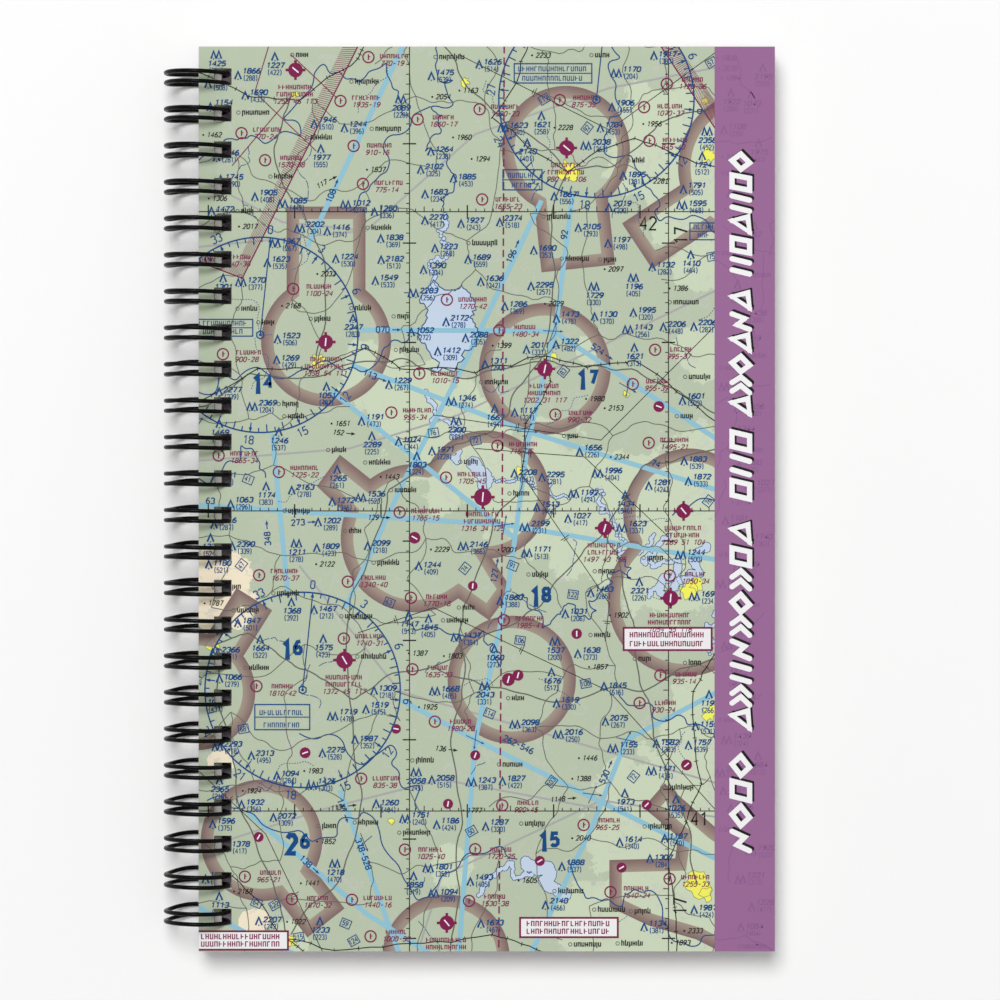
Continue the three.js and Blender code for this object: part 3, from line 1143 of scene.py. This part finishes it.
def draw_grid(plates, placer):
    """Meridians and parallels with their minute ticks, a dashed line of equal variation and the degrees."""
    plate = plates["grid"]
    left, foot, right, head = plate.window
    for u in MERIDIANS:
        draw_grid_line(plate, lambda off, v: (u + off, v), (foot, head), 3.1, MINUTE[1], 92, -1, 0.8)
    for v in PARALLELS:
        draw_grid_line(plate, lambda off, u: (u, v + off), (left, right), 2.3, MINUTE[0], 60, 1, 0.75)
    for stretch in dashes(VARIATION_LINE, 1.75, 0.95):
        plates["magenta"].stroke(stretch, 0.36)
    for text, start, turn in GRATICULE_LABELS:
        draw_figures(plates["black"], text, start, GRATICULE, turn)
        margins = (3.3, 0.5, 0.5, 4.9) if turn else (0.5, 0.5, 5.4, 4.9)
        placer.keep_round([start], *margins)


# Magnetic north, in degrees east of the chart's meridians.
VARIATION = 6


def draw_rose(plate, centre, radius, placer):
    """A compass rose: a degree ring with bearings every thirty degrees and a north line."""
    plate.ring(centre, radius, 0.34, 120)
    for bearing in range(VARIATION, 360 + VARIATION, 5):
        magnetic = bearing - VARIATION
        plate.spoke(centre, bearing, radius, radius - (1.1 if magnetic % 10 else 1.9), 0.27)
        if magnetic % 30:
            continue
        draw_arrow(plate, on_circle(centre, radius - 2.3, bearing), bearing, 2.3, 0.24, 1.1)
        label = str(magnetic // 10)
        at = on_circle(centre, radius + 1.9, bearing)
        turn = (180 if 90 < bearing < 270 else 0) - bearing
        draw_figures(plate, label, turned(at, -ROSE.width(label) / 2, -0.9, turn), ROSE, turn)
        placer.keep_round([at], 1.4, 1.4, 1.4, 1.4)
    plate.spoke(centre, VARIATION, 0.0, radius, 0.26)
    plate.ring(centre, 0.95, 0.30, 6)
    plate.disc(centre, 0.34, 10)


ROAD_PITCH = 15.0


def draw_roads(plates, rng):
    """Country roads on a loose net, highways between towns, railways with ties, and power lines."""
    rows = []
    for j in range(16):
        middles = [(ROAD_PITCH * (i - 0.5), ROAD_PITCH * (j - 0.5)) for i in range(10)]
        rows.append([(u + rng.uniform(-6, 6), v + rng.uniform(-6, 6)) for u, v in middles])
    for j, row in enumerate(rows):
        for i, start in enumerate(row):
            ends = [row[i + 1]] if i + 1 < len(row) else []
            ends += [rows[j + 1][i]] if j + 1 < len(rows) else []
            for end in ends:
                if rng.random() < 0.64:
                    plates["road"].stroke(eased(wander([start, end], 0.12, 3, rng)), 0.19)
    for route in HIGHWAYS:
        plates["road"].stroke(eased(wander(route, 0.06, 3, rng)), 0.30)
    fine = plates["black_fine"]
    for route in RAILWAYS:
        bends = wander(route, 0.04, 3, rng)
        fine.stroke(bends, 0.24)
        for here, after in list(zip(bends, bends[1:]))[::2]:
            fine.tie(here, direction(here, after), 0.5, 0.18)
    for route in POWER_LINES:
        fine.stroke(route, 0.17)
        for start, end in zip(route, route[1:]):
            along, middle = direction(start, end), between(start, end, 0.5)
            for shift in (-0.25, 0.25):
                foot = (middle[0] + along[0] * shift, middle[1] + along[1] * shift)
                fine.tie(foot, along, 0.9 - shift, 0.16)


def draw_low_routes(plates, placer):
    """Broad grey lines of low-flying routes with black figures and arrows."""
    for route in LOW_ROUTES:
        plates["route"].stroke(route, 0.46)
    for text, start, turn in ROUTE_LABELS:
        draw_figures(plates["black"], text, start, PEAK, turn)
        end = turned(start, PEAK.width(text) + 0.5, 0.5, turn)
        draw_arrow(plates["black"], end, 90 - turn, 2.2, 0.2, 1.0)
        placer.keep_round((start, end), 0.5, 0.8, 2.4, 1.2)


def draw_training_areas(plates):
    """Edges of training areas: a magenta line with a hatched strip inside it, and lines between areas."""
    for edge, inside in TRAINING_AREAS:
        plates["magenta"].stroke(edge, 0.30)
        for a, b, c, d in zip(edge, edge[1:], inside, inside[1:]):
            count = int(math.dist(a, b) / HATCH_PITCH)
            for k in range(count):
                plates["magenta_fine"].line(between(a, b, k / count), between(c, d, k / count), 0.12)
    for route in TRAINING_LINES:
        plates["magenta"].stroke(route, 0.22)


def draw_airfields(plates, rng, placer):
    """Discs with their runways, and the larger fields' services, names and figures."""
    magenta = plates["magenta"]
    for centre, radius, bearing in AIRFIELDS + STRIPS:
        magenta.disc(centre, radius, 28)
        plates["white"].spoke(centre, bearing, radius * 0.55, -radius * 0.55, 0.30)
        placer.keep_round([centre], 2.4, 2.4, 2.4, 2.4)
    for centre, radius, _ in AIRFIELDS:
        for quarter in range(0, 360, 90):
            magenta.spoke(centre, quarter, radius * 0.9, radius * 1.35, 0.62)
        for down, fewest, most in ((4.6, 8, 11), (6.3, 9, 13)):
            draw_capitals(magenta, (centre[0], centre[1] - down), 1.05, rng.randint(fewest, most), rng)
        text = f"{rng.randint(900, 1590)} {rng.randint(30, 60)} {rng.randint(100, 130)}"
        draw_figures(magenta, text, (centre[0] - FIELD.width(text) / 2, centre[1] - 8.0), FIELD)
        placer.keep_round([centre], 6.0, 8.4, 6.0, -2.4)


def draw_strip(plates, rng, placer):
    """A private strip: a magenta ring with a bar in it, and a name over a height and a length."""
    at = placer.find(12.4, 4.4)
    if at is None:
        return
    magenta = plates["magenta"]
    u, v = at[0] + 1.6, at[1] + rng.uniform(1.6, 2.8)
    magenta.ring((u, v), 1.32, 0.32, 28)
    magenta.line((u, v - 0.65), (u, v + 0.65), 0.3)
    magenta.line((u, v + 0.1), (u + 0.45, v + 0.1), 0.2)
    draw_capitals(magenta, (at[0] + 7.9, at[1] + 2.2), 1.02, rng.randint(6, 8), rng)
    text = f"{rng.randrange(700, 1990, 5)}-{rng.randint(14, 45)}"
    draw_figures(magenta, text, (at[0] + 4.5, at[1] + 0.5), FIELD)


def draw_mast(plate, foot, double=False):
    """A mast symbol: a steep roof over a dot, or two joined."""
    shifts, half, tall = ((-0.62, 0.62), 0.608, 1.8) if double else ((0.0,), 0.76, 1.8)
    for shift in shifts:
        middle = foot[0] + shift
        plate.stroke([(middle - half, foot[1]), (middle, foot[1] + tall), (middle + half, foot[1])], 0.45)
        plate.disc((middle, foot[1] - 0.05), 0.17, 10)


def draw_obstacle(plates, rng, placer):
    """A mast with its height above the sea and, in brackets, above the ground."""
    at = placer.find(6.5, 4.0) if rng.random() < 0.7 else None
    plate = plates["blue"]
    sea, ground = str(rng.randint(1010, 2390)), f"({rng.randint(200, 560)})"
    double = rng.random() < 0.3
    if at is not None:
        draw_mast(plate, (at[0] + 1.0, at[1] + rng.uniform(0.7, 1.6)), double)
        draw_figures(plate, sea, (at[0] + 2.1 + 0.5 * double, at[1] + 2.2), SPOT)
        draw_figures(plate, ground, (at[0] + 2.2 + 0.5 * double, at[1] + 0.5), SPOT_PLAIN)
        return
    at = placer.find(4.6, 5.8)
    if at is not None:
        draw_mast(plate, (at[0] + 2.2, at[1] + 3.8), double)
        draw_figures(plate, sea, (at[0] + 0.2, at[1] + 2.1), SPOT)
        draw_figures(plate, ground, (at[0] + 0.4, at[1] + 0.4), SPOT_PLAIN)


def draw_hamlet(plates, rng, placer):
    if rng.random() < 0.4:
        at = placer.find(6.2, 2.2)
        if at is not None:
            plates["black"].disc((at[0] + 0.6, at[1] + 0.9), 0.24, 10)
            draw_figures(plates["black"], str(rng.randint(1010, 2390)), (at[0] + 1.5, at[1] + 0.4), PEAK)
        return
    at = placer.find(8.4, 2.4)
    if at is not None:
        plates["road"].ring((at[0] + 0.6, at[1] + 1.0), 0.42, 0.17, 12)
        draw_word(plates["black"], (at[0] + 1.6, at[1] + 0.5), 1.35, rng.randint(4, 8), rng, 0.25)


def draw_road_number(plates, rng, placer):
    """A small turned frame with a road's number."""
    at = placer.find(4.0, 3.6)
    if at is None:
        return
    turn = rng.choice((-22, -8, 10, 30, 52))
    middle = (at[0] + 2.0, at[1] + 1.8)
    corners = [on_circle(middle, 1.55, 90 - turn + corner) for corner in (-40, 40, 140, 220)]
    plates["blue"].stroke(corners, 0.2, closed=True)
    text = str(rng.randint(41, 129))
    start = turned(middle, -SPOT_PLAIN.width(text) / 2, -0.55, turn)
    draw_figures(plates["blue"], text, start, SPOT_PLAIN, turn)


def draw_notes(plates, rng, placer):
    """Framed notes whose lines are rows of ticks."""
    for left, foot, right, head in WHITE_NOTES:
        plates["note"].fill(rectangle(left, foot, right, head))
        plates["magenta"].stroke(rectangle(left, foot, right, head), 0.46, closed=True)
        count = int((right - left - 2.6) / (TALL_STEP * 1.25))
        for row in (0.57, 0.17):
            middle = ((left + right) / 2, foot + row * (head - foot))
            draw_capitals(plates["magenta"], middle, 1.25, count, rng, 0.27)
        placer.keep(left, foot, right, head)
    for left, foot, right, head in CLEAR_NOTES:
        middle = (foot + head) / 2
        plates["blue"].stroke(rectangle(left, foot, right, head), 0.28, closed=True)
        plates["blue"].line((left, middle), (right, middle), 0.22)
        count = int((right - left - 1.6) / (TALL_STEP * 1.15))
        for level, letters in ((middle + 0.5, count), (foot + 0.55, max(count - 2, 2))):
            draw_capitals(plates["blue"], ((left + right) / 2, level), 1.15, letters, rng, 0.2)
        placer.keep(left - 0.5, foot - 0.5, right + 0.5, head + 0.5)


def draw_sector_figures(plate, placer):
    for large, small, at in SECTOR_FIGURES:
        draw_figures(plate, large, at, SECTOR_LARGE)
        draw_figures(plate, small, (at[0] + (2.9 if large == "1" else 3.4), at[1] + 1.5), SECTOR_SMALL)
        placer.keep_round([at], 0.6, 0.6, 6.2, 5.4)


# The chart's plates in printing order, each a step higher than the one before, and their inks.
CHART_INKS = {
    "water": "water", "shore_fill": "shore", "water_top": "water", "town": "town", "route": "route",
    "airspace": "airspace", "airway": "airway", "shore": "shore", "road": "road", "black_fine": "black",
    "grid": "black", "magenta_fine": "magenta", "note": "note", "magenta": "magenta", "blue": "blue",
    "black": "black", "white": "motif",
}
INK_STEP = 0.0045
# The band's plates as (height over the card, ink).
BAND_INKS = {
    "band": (0.060, "band"),
    "ghost": (0.065, "band_ghost"),
    "shadow": (0.072, "black"),
    "motif": (0.080, "motif"),
}


# ---------------------------------------------------------------- the band's motif

GHOST_SEED = 29
MOTIF_SEED = 12
MOTIF_SHADOW = 0.48
MOTIF_STROKE = 1.25
MOTIF_ACROSS = 4.2
MOTIF_GAP = 1.35
# Binding edge of the band to the middle of the shapes.
MOTIF_MIDDLE = 6.25
# Groups of shapes as (start, number of shapes, pitch).
MOTIF_GROUPS = [(24.0, 4, 6.0), (53.2, 9, 5.55), (107.9, 3, 5.8), (128.2, 6, 5.05), (161.6, 6, 5.0)]
# Each shape as lines on a square one wide and one long, and whether they close.
MOTIF_SHAPES = {
    "bars": ([[(1, 0.0), (0, 0.28)], [(1, 0.72), (0, 1.0)]], False),
    "delta": ([[(1, 0.0), (0.9, 1.0), (0, 0.75)]], True),
    "diamond": ([[(1, 0.42), (0.5, 1.0), (0, 0.58), (0.5, 0.0)]], True),
    "zigzag": ([[(1, 0.0), (0.28, 0.30), (0.72, 0.70), (0, 1.0)]], False),
    "chevrons": ([[(1, 0.0), (0.5, 0.48), (0, 0.12)], [(1, 0.55), (0.5, 1.03), (0, 0.67)]], False),
    "frame": ([[(1, 0.0), (1, 0.78), (0, 1.0), (0, 0.22)]], True),
}


def draw_shape(plate, kind, at, along):
    """One abstract shape of the motif in round-ended strokes."""
    lines, closed = MOTIF_SHAPES[kind]
    for line in lines:
        points = [(at[0] + (u - 0.5) * MOTIF_ACROSS, at[1] + v * along) for u, v in line]
        plate.stroke(points, MOTIF_STROKE, closed)
        for point in points:
            plate.disc(point, MOTIF_STROKE / 2, 18)


# ---------------------------------------------------------------- operators


class Builder(bpy.types.Operator):
    """Shared base: runs build and raises what goes wrong."""

    bl_options = {"REGISTER", "UNDO"}

    def execute(self, context):
        self.build(context.scene)
        return {"FINISHED"}


class LOGBOOK_OT_covers(Builder):
    """Give both card covers their printed faces, plain insides and softened edges"""

    bl_idname = "logbook.covers"
    bl_label = "Covers"

    def build(self, scene):
        inks = scene.logbook_print
        front = cover_material("Chart-printed card", chart_ground(inks))
        back = cover_material("Purple card", inks.band, face_up=False)
        for node, material in (("front_cover", front), ("back_cover", back)):
            card = frame["nodes"][node]
            card.data.materials.clear()
            card.data.materials.append(material)
            soften = card.modifiers.new("Softened edges", "BEVEL")
            soften.width = 0.06 * MM
            soften.segments = 2
            soften.limit_method = "ANGLE"


SHEET_SEED = 71
SHEETS_PER_SECTION = 4
# Share of its place in a section that a sheet fills; the rest is air.
SHEET_SHARE = 0.9
# Counted from the top: the sheet under which hole edges step back, and the last one that does.
SHIFTED_SHEETS = (28, 60)


class LOGBOOK_OT_sheets(Builder):
    """Replace each page section by its loose sheets, cut a hair unevenly"""

    bl_idname = "logbook.sheets"
    bl_label = "Sheets"

    def build(self, scene):
        paper = scene.logbook_paper
        material = paper_material(paper)
        rng = random.Random(SHEET_SEED)
        self.from_top = 0
        for node in SHEET_NODES:
            count = SHEETS_PER_SECTION if node in SECTION_NODES else 1
            self.make_sheets(node, count, paper, material, rng)

    def step_back(self, paper):
        """How far the next sheet's holes are narrowed on their binding side."""
        first, last = SHIFTED_SHEETS
        if self.from_top > last:
            return 0.0
        return min(paper.hole_step * max(self.from_top - first, 0), paper.hole_shift)

    def make_sheets(self, node, count, paper, material, rng):
        low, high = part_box(node)
        pitch = (high.z - low.z) / count
        thickness = pitch * (SHEET_SHARE if count > 1 else 1.0)
        hole_left = COVER_LOW.x + HOLES[0][0] * MM
        whole = bmesh.new()
        for k in reversed(range(count)):
            step_back = self.step_back(paper)
            self.from_top += 1
            foot = low.z + k * pitch
            shift = Vector((rng.uniform(-1, 0), rng.uniform(-1, 1), 0)) * paper.cut_spread
            leaf = bmesh.new()
            leaf.from_mesh(frame["nodes"][node].data)
            bmesh.ops.remove_doubles(leaf, verts=leaf.verts, dist=1e-6)
            for v in leaf.verts:
                outer = v.co.x > high.x - MM or abs(v.co.y) > high.y - MM
                v.co.z = foot + (thickness if v.co.z > (low.z + high.z) / 2 else 0.0)
                if outer and v.co.x > 0:
                    v.co += shift
                if abs(v.co.x - hole_left) < 0.1 * MM:
                    v.co.x += step_back
            bmesh.ops.dissolve_limit(leaf, angle_limit=0.01, verts=leaf.verts, edges=leaf.edges)
            bmesh.ops.triangulate(leaf, faces=leaf.faces)
            part = bpy.data.meshes.new("leaf")
            leaf.to_mesh(part)
            leaf.free()
            whole.from_mesh(part)
            bpy.data.meshes.remove(part)
        mesh = bpy.data.meshes.new(f"{node}_paper")
        whole.to_mesh(mesh)
        whole.free()
        mesh.materials.clear()
        mesh.materials.append(material)
        for face in mesh.polygons:
            face.use_smooth = False
        piece = new_object(f"{node}_paper", mesh)
        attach(piece, node)
        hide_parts(node)


WIRE_SEED = 24
LEG_STEPS = 48
# Angles round the rings: where a leg leaves the run along the spine, where it ends in the hairpin, and
# how far the bends there turn.
ROOT_ANGLE = 279.0
TIP_ANGLE = -57.0
BEND_ANGLE = 9.0
# Angles over which a loop comes to its full lean under the covers, and to its full nod over them.
LEAN_RISE = (192.0, 260.0)
NOD_RISE = (150.0, 40.0)


def eased_share(value, start, end):
    """0 before start and 1 past end, with a smooth rise between."""
    share = max(0.0, min(1.0, (value - start) / (end - start)))
    return share * share * (3 - 2 * share)


class LOGBOOK_OT_wire(Builder):
    """Bend the coated wire round its twin loops"""

    bl_idname = "logbook.wire"
    bl_label = "Wire"

    def build(self, scene):
        wire = scene.logbook_wire
        route = self.route(wire)
        corners, faces = [], []
        sides = wire.sides
        for i, (here, radial) in enumerate(route):
            before = route[max(i - 1, 0)][0]
            after = route[min(i + 1, len(route) - 1)][0]
            across = (after - before).normalized().cross(radial)
            for k in range(sides):
                angle = 2 * math.pi * k / sides
                outward = radial * math.cos(angle) + across * math.sin(angle)
                corners.append(here + outward * wire.diameter / 2)
        for i in range(len(route) - 1):
            for k in range(sides):
                a, b = i * sides + k, i * sides + (k + 1) % sides
                faces.append([a, b, b + sides, a + sides])
        last = (len(route) - 1) * sides
        faces.append(list(reversed(range(sides))))
        faces.append(list(range(last, last + sides)))
        mesh = bpy.data.meshes.new("twin_loop_wire")
        mesh.from_pydata(corners, [], faces)
        mesh.materials.append(wire_material(wire))
        cleaned = bmesh.new()
        cleaned.from_mesh(mesh)
        bmesh.ops.recalc_face_normals(cleaned, faces=cleaned.faces)
        cleaned.to_mesh(mesh)
        cleaned.free()
        for face in mesh.polygons:
            face.use_smooth = len(face.vertices) == 4
        piece = new_object("twin_loop_wire", mesh)
        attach(piece, "binding")
        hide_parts("binding_wire")

    def route(self, wire):
        """The wire's centre line as (point, direction away from the rings' axis)."""
        root, tip, bend = ROOT_ANGLE, TIP_ANGLE, BEND_ANGLE
        half = wire.leg_spacing / 2
        rng = random.Random(WIRE_SEED)
        middles = [COVER_LOW.y + (foot + head) / 2 * MM for _, foot, _, head in HOLES]
        quarter = [math.pi / 2 * k / 6 for k in range(7)]
        hairpin = [math.pi * k / 10 for k in range(11)]
        route = []

        def add(degrees, y, lean):
            radial = Vector((math.cos(math.radians(degrees)), 0.0, math.sin(math.radians(degrees))))
            y += lean * eased_share(degrees, *LEAN_RISE) - wire.nod * eased_share(degrees, *NOD_RISE)
            route.append((Vector((HINGE.x, y, HINGE.z)) + radial * wire.ring_radius, radial))

        for i, middle in enumerate(middles):
            lean = wire.lean + rng.uniform(-1, 1) * wire.spread
            if i > 0:
                for t in quarter:
                    add(root + bend * math.cos(t), middle - half * (2 - math.sin(t)), lean)
            for k in range(1, LEG_STEPS):
                add(root + (tip - root) * k / LEG_STEPS, middle - half, lean)
            for turn in hairpin:
                add(tip - bend * math.sin(turn), middle - half * math.cos(turn), lean)
            lean = wire.lean + rng.uniform(-1, 1) * wire.spread
            for k in range(1, LEG_STEPS):
                add(tip + (root - tip) * k / LEG_STEPS, middle + half, lean)
            if i < len(middles) - 1:
                for t in quarter:
                    add(root + bend * math.sin(t), middle + half * (2 - math.cos(t)), lean)
        return route


# Marks scattered over the chart, with how many of each are tried.
SCATTER = ((draw_strip, 52), (draw_obstacle, 205), (draw_hamlet, 112), (draw_road_number, 26))


class LOGBOOK_OT_chart(Builder):
    """Print the invented chart on the front cover, one plate for each ink"""

    bl_idname = "logbook.chart"
    bl_label = "Chart"

    def build(self, scene):
        inks = scene.logbook_print
        right = COVER_WIDTH - inks.band_width / MM
        plates = {name: InkPlate(k * INK_STEP, right=right) for k, name in enumerate(CHART_INKS, 1)}
        rng = random.Random(CHART_SEED)
        head = plates["grid"].window[3]
        placer = Placer(rng, (0.5, 0.5, right + 1.5, head - 0.5))
        draw_land(plates, rng)
        draw_airspace(plates)
        draw_grid(plates, placer)
        draw_roads(plates, rng)
        draw_low_routes(plates, placer)
        draw_training_areas(plates)
        for centre, radius in ROSES:
            draw_rose(plates["blue"], centre, radius, placer)
        draw_airway_marks(plates["blue"], placer)
        draw_notes(plates, rng, placer)
        draw_sector_figures(plates["blue"], placer)
        draw_airfields(plates, rng, placer)
        for draw, count in SCATTER:
            for _ in range(count):
                draw(plates, rng, placer)
        for name, plate in plates.items():
            base = getattr(inks, CHART_INKS[name])
            if name == "airspace":
                material = airspace_material(base, inks.airspace_inside)
            else:
                material = ink_material(f"{name} ink", base)
            plate.make(f"chart_{name}", material)


class LOGBOOK_OT_band(Builder):
    """Print the purple band along the fore edge with its motif of bars, diamonds and chevrons"""

    bl_idname = "logbook.band"
    bl_label = "Fore-edge band"

    def build(self, scene):
        inks = scene.logbook_print
        left = COVER_WIDTH - inks.band_width / MM
        plates = {name: InkPlate(level, left=left) for name, (level, _) in BAND_INKS.items()}
        plates["band"].prism(rectangle(*plates["band"].window))
        self.draw_ghosts(plates["ghost"])
        self.draw_motif(plates, left + MOTIF_MIDDLE)
        for name, plate in plates.items():
            base = getattr(inks, BAND_INKS[name][1])
            plate.make(f"{name}_print", ink_material(f"{name} print", base))

    def draw_ghosts(self, plate):
        """Chart marks that show faintly through the purple."""
        rng = random.Random(GHOST_SEED)
        left, _, right, _ = plate.window
        placer = Placer(rng, plate.window)
        marks = dict.fromkeys(("blue", "black", "road"), plate)
        for _ in range(30):
            draw_obstacle(marks, rng, placer)
        for _ in range(20):
            draw_hamlet(marks, rng, placer)
        for _ in range(14):
            start = (rng.uniform(left, right), rng.uniform(0, COVER_HEIGHT))
            end = on_circle(start, 14, rng.uniform(0, 360))
            plate.stroke(wander([start, end], 0.08, 3, rng), 0.2)
        centre, radius = ROSES[2]
        plate.ring(centre, radius, 0.3, 90)

    def draw_motif(self, plates, middle):
        """Groups of abstract shapes running up the band, white over a black shadow."""
        rng = random.Random(MOTIF_SEED)
        previous = None
        for start, count, pitch in MOTIF_GROUPS:
            for k in range(count):
                kind = rng.choice([name for name in MOTIF_SHAPES if name != previous])
                previous = kind
                for name, shift in (("shadow", MOTIF_SHADOW), ("motif", 0.0)):
                    at = (middle + shift, start + pitch * k + shift)
                    draw_shape(plates[name], kind, at, pitch - MOTIF_GAP)


# Middle of the view on the cover, in millimetres.
VIEW_MIDDLE = (71.9, 107.7)
SENSOR_WIDTH = 36.0
KEY_PLACE, KEY_SIZE, KEY_POWER = (-0.30, 0.92, 2.34), 1.20, 40.5
# The room's brightness near the horizon and overhead, and the heights between which it changes.
ROOM_LIGHT = (0.92, 0.375)
ROOM_RISE = (0.12, 0.45)


class LOGBOOK_OT_stage(Builder):
    """Set the floor, the soft light and the camera looking straight down"""

    bl_idname = "logbook.stage"
    bl_label = "Stage"

    def build(self, scene):
        stage = scene.logbook_stage
        self.make_floor(stage.floor_size)
        self.make_camera(scene, stage)
        self.make_key()
        self.make_room(scene)

    def make_floor(self, size):
        mesh = bpy.data.meshes.new("floor")
        half = size / 2
        corners = [(*corner, 0.0) for corner in rectangle(-half, -half, half, half)]
        mesh.from_pydata(corners, [], [(0, 1, 2, 3)])
        mesh.materials.append(floor_material())
        new_object("floor", mesh)

    def make_camera(self, scene, stage):
        lens = bpy.data.cameras.new("camera")
        lens.sensor_width = SENSOR_WIDTH
        lens.lens = lens.sensor_width * stage.camera_height / stage.view_width
        lens.clip_end = 20.0
        camera = new_object("camera", lens)
        across, up = VIEW_MIDDLE
        middle = Vector((COVER_LOW.x + across * MM, COVER_LOW.y + up * MM, COVER_HIGH.z))
        camera.location = middle + Vector((0, 0, stage.camera_height))
        scene.camera = camera

    def make_key(self):
        lamp = bpy.data.lights.new("key", "AREA")
        lamp.shape = "DISK"
        lamp.size = KEY_SIZE
        lamp.energy = KEY_POWER
        light = new_object("key", lamp)
        light.location = KEY_PLACE
        light.rotation_euler = Vector(KEY_PLACE).to_track_quat("Z", "Y").to_euler()

    def make_room(self, scene):
        world = bpy.data.worlds.new("Soft white room")
        world.use_nodes = True
        n = Nodes(world.node_tree)
        coordinates = n.add("ShaderNodeTexCoord")
        split = n.add("ShaderNodeSeparateXYZ", inputs={"Vector": coordinates.outputs["Generated"]})
        brightness = n.step(split.outputs["Z"], *ROOM_RISE, *ROOM_LIGHT)
        background = world.node_tree.nodes["Background"]
        background.inputs["Color"].default_value = (1.0, 1.0, 1.0, 1.0)
        n.feed(background.inputs["Strength"], brightness)
        scene.world = world
        scene.view_settings.view_transform = "Standard"


OPERATORS = (
    LOGBOOK_OT_covers,
    LOGBOOK_OT_sheets,
    LOGBOOK_OT_wire,
    LOGBOOK_OT_chart,
    LOGBOOK_OT_band,
    LOGBOOK_OT_stage,
)
SETTINGS = {
    "logbook_print": LogbookPrint,
    "logbook_wire": LogbookWire,
    "logbook_paper": LogbookPaper,
    "logbook_stage": LogbookStage,
}


class LOGBOOK_PT_panel(bpy.types.Panel):
    """Lists the building steps"""

    bl_idname = "LOGBOOK_PT_panel"
    bl_label = "Logbook"
    bl_space_type = "VIEW_3D"
    bl_region_type = "UI"
    bl_category = "Logbook"

    def draw(self, context):
        for operator in OPERATORS:
            self.layout.operator(operator.bl_idname)
        for name in SETTINGS:
            settings = getattr(context.scene, name)
            box = self.layout.box()
            for key in settings.bl_rna.properties.keys():
                if key not in ("rna_type", "name"):
                    box.prop(settings, key)


def register():
    for name, group in SETTINGS.items():
        bpy.utils.register_class(group)
        setattr(bpy.types.Scene, name, bpy.props.PointerProperty(type=group))
    for cls in (*OPERATORS, LOGBOOK_PT_panel):
        bpy.utils.register_class(cls)


def unregister():
    for cls in (LOGBOOK_PT_panel, *reversed(OPERATORS)):
        bpy.utils.unregister_class(cls)
    for name, group in SETTINGS.items():
        delattr(bpy.types.Scene, name)
        bpy.utils.unregister_class(group)


def main():
    register()
    bpy.ops.logbook.covers()
    bpy.ops.logbook.sheets()
    bpy.ops.logbook.wire()
    bpy.ops.logbook.chart()
    bpy.ops.logbook.band()
    bpy.ops.logbook.stage()


if __name__ == "__main__":
    main()
